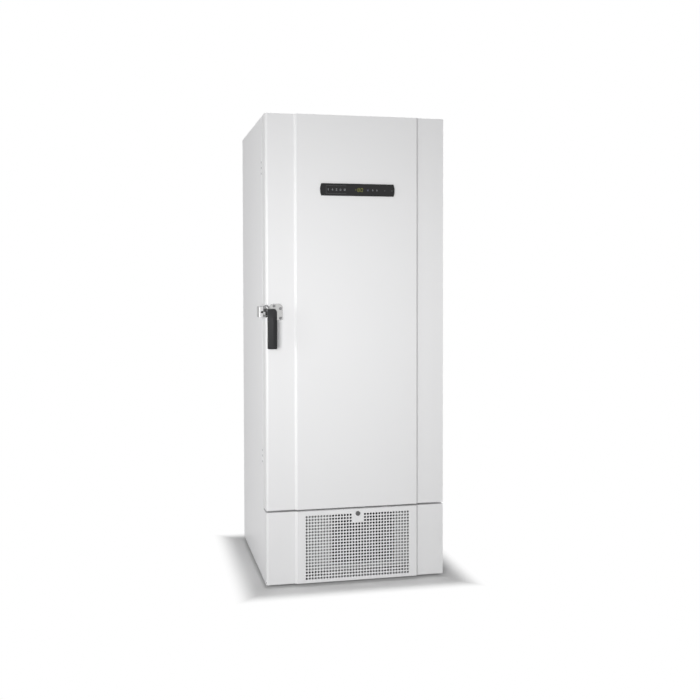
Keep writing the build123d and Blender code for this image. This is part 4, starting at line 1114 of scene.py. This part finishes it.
def gasket_tree():
    """Tree that sweeps the gasket's sections round a rectangle."""
    sizes = (("Width", "Float"), ("Height", "Float"), ("Place", "Vector"))
    tree, given = new_tree("swept_gasket", sizes)
    width = given["Width"]
    loop = width.node("GeometryNodeCurvePrimitiveQuadrilateral", inputs={
        "Width": width, "Height": given["Height"]})
    path = width.node("GeometryNodeFilletCurve", inputs={"Curve": loop, "Radius": GASKET_CORNER})
    sweeps = width.node("GeometryNodeJoinGeometry")
    join = sweeps.socket.node
    for across, wide, tall, rise in GASKET_SECTIONS:
        oval = width.node("GeometryNodeCurvePrimitiveCircle", inputs={
            "Resolution": SECTION_POINTS, "Radius": 0.5})
        section = width.node("GeometryNodeTransform", inputs={
            "Geometry": oval, "Translation": (across, rise, 0), "Scale": (wide, tall, 1)})
        skin = width.node("GeometryNodeCurveToMesh", inputs={"Curve": path, "Profile Curve": section})
        tree.links.new(skin.socket, join.inputs["Geometry"])
    stood = width.node("GeometryNodeTransform", inputs={
        "Geometry": sweeps, "Translation": given["Place"], "Rotation": (math.radians(90), 0, 0)})
    return close_tree(tree, stood, given["Finish"])


low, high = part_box("door_gasket")
gasket = grow(
    "door_seal", gasket_tree(), bpy.data.meshes.new("gasket_start"),
    Width=high.x - low.x - 2 * GASKET_HALF, Height=high.z - low.z - 2 * GASKET_HALF,
    Place=(0, low.y, (low.z + high.z) / 2), Finish=seal_rubber)
gasket.shade_smooth()
place_piece(gasket, "main_door", ["door_gasket"])

# %% [markdown]
# The shelves hang on slotted uprights. One short length of upright with a single slot is enough: the
# row tree stacks as many as fit, and the slots line up at a constant pitch.

# %% Shelf uprights
SLOT_PITCH = 0.024
SLOT_WIDE = 0.006
SLOT_TALL = 0.014
UPRIGHT_SHEET = 0.0015
UPRIGHT_DEEP = 0.010
UPRIGHT_WIDE = 0.025
upright_low, upright_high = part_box("shelf_uprights")
upright_links = int((upright_high.z - upright_low.z) / SLOT_PITCH)


def slotted_upright(count, centre):
    """One upright: a row of short folded lengths, each with one slot."""
    inward = -1 if centre.x > 0 else 1
    face = centre.x + inward * UPRIGHT_DEEP / 2
    back = face - inward * UPRIGHT_SHEET
    wall = centre.x - inward * UPRIGHT_DEEP / 2
    sheet = sorted((face, back))
    y = (centre.y - UPRIGHT_WIDE / 2, centre.y + UPRIGHT_WIDE / 2)
    slot_y = (centre.y - SLOT_WIDE / 2, centre.y + SLOT_WIDE / 2)
    slot_z = ((SLOT_PITCH - SLOT_TALL) / 2, (SLOT_PITCH + SLOT_TALL) / 2)
    shape = bmesh.new()
    add_box(shape, sheet, (y[0], slot_y[0]), (0, SLOT_PITCH))
    add_box(shape, sheet, (slot_y[1], y[1]), (0, SLOT_PITCH))
    add_box(shape, sheet, slot_y, (0, slot_z[0]))
    add_box(shape, sheet, slot_y, (slot_z[1], SLOT_PITCH))
    for edge in (y[0], y[1] - UPRIGHT_SHEET):
        add_box(shape, sorted((back, wall)), (edge, edge + UPRIGHT_SHEET), (0, SLOT_PITCH))
    link = finished_mesh(shape, f"upright_link_{count}", chamber_steel)
    mesh = grow(f"slotted_upright_{count}", repeat_in_a_row, link, Count=upright_links,
                Start=(0, 0, upright_low.z), Step=(0, 0, SLOT_PITCH), Finish=chamber_steel)
    place_piece(mesh, "cabinet", ["shelf_uprights"])


for count, centre in enumerate(solid_centres("shelf_uprights"), 1):
    slotted_upright(count, centre)
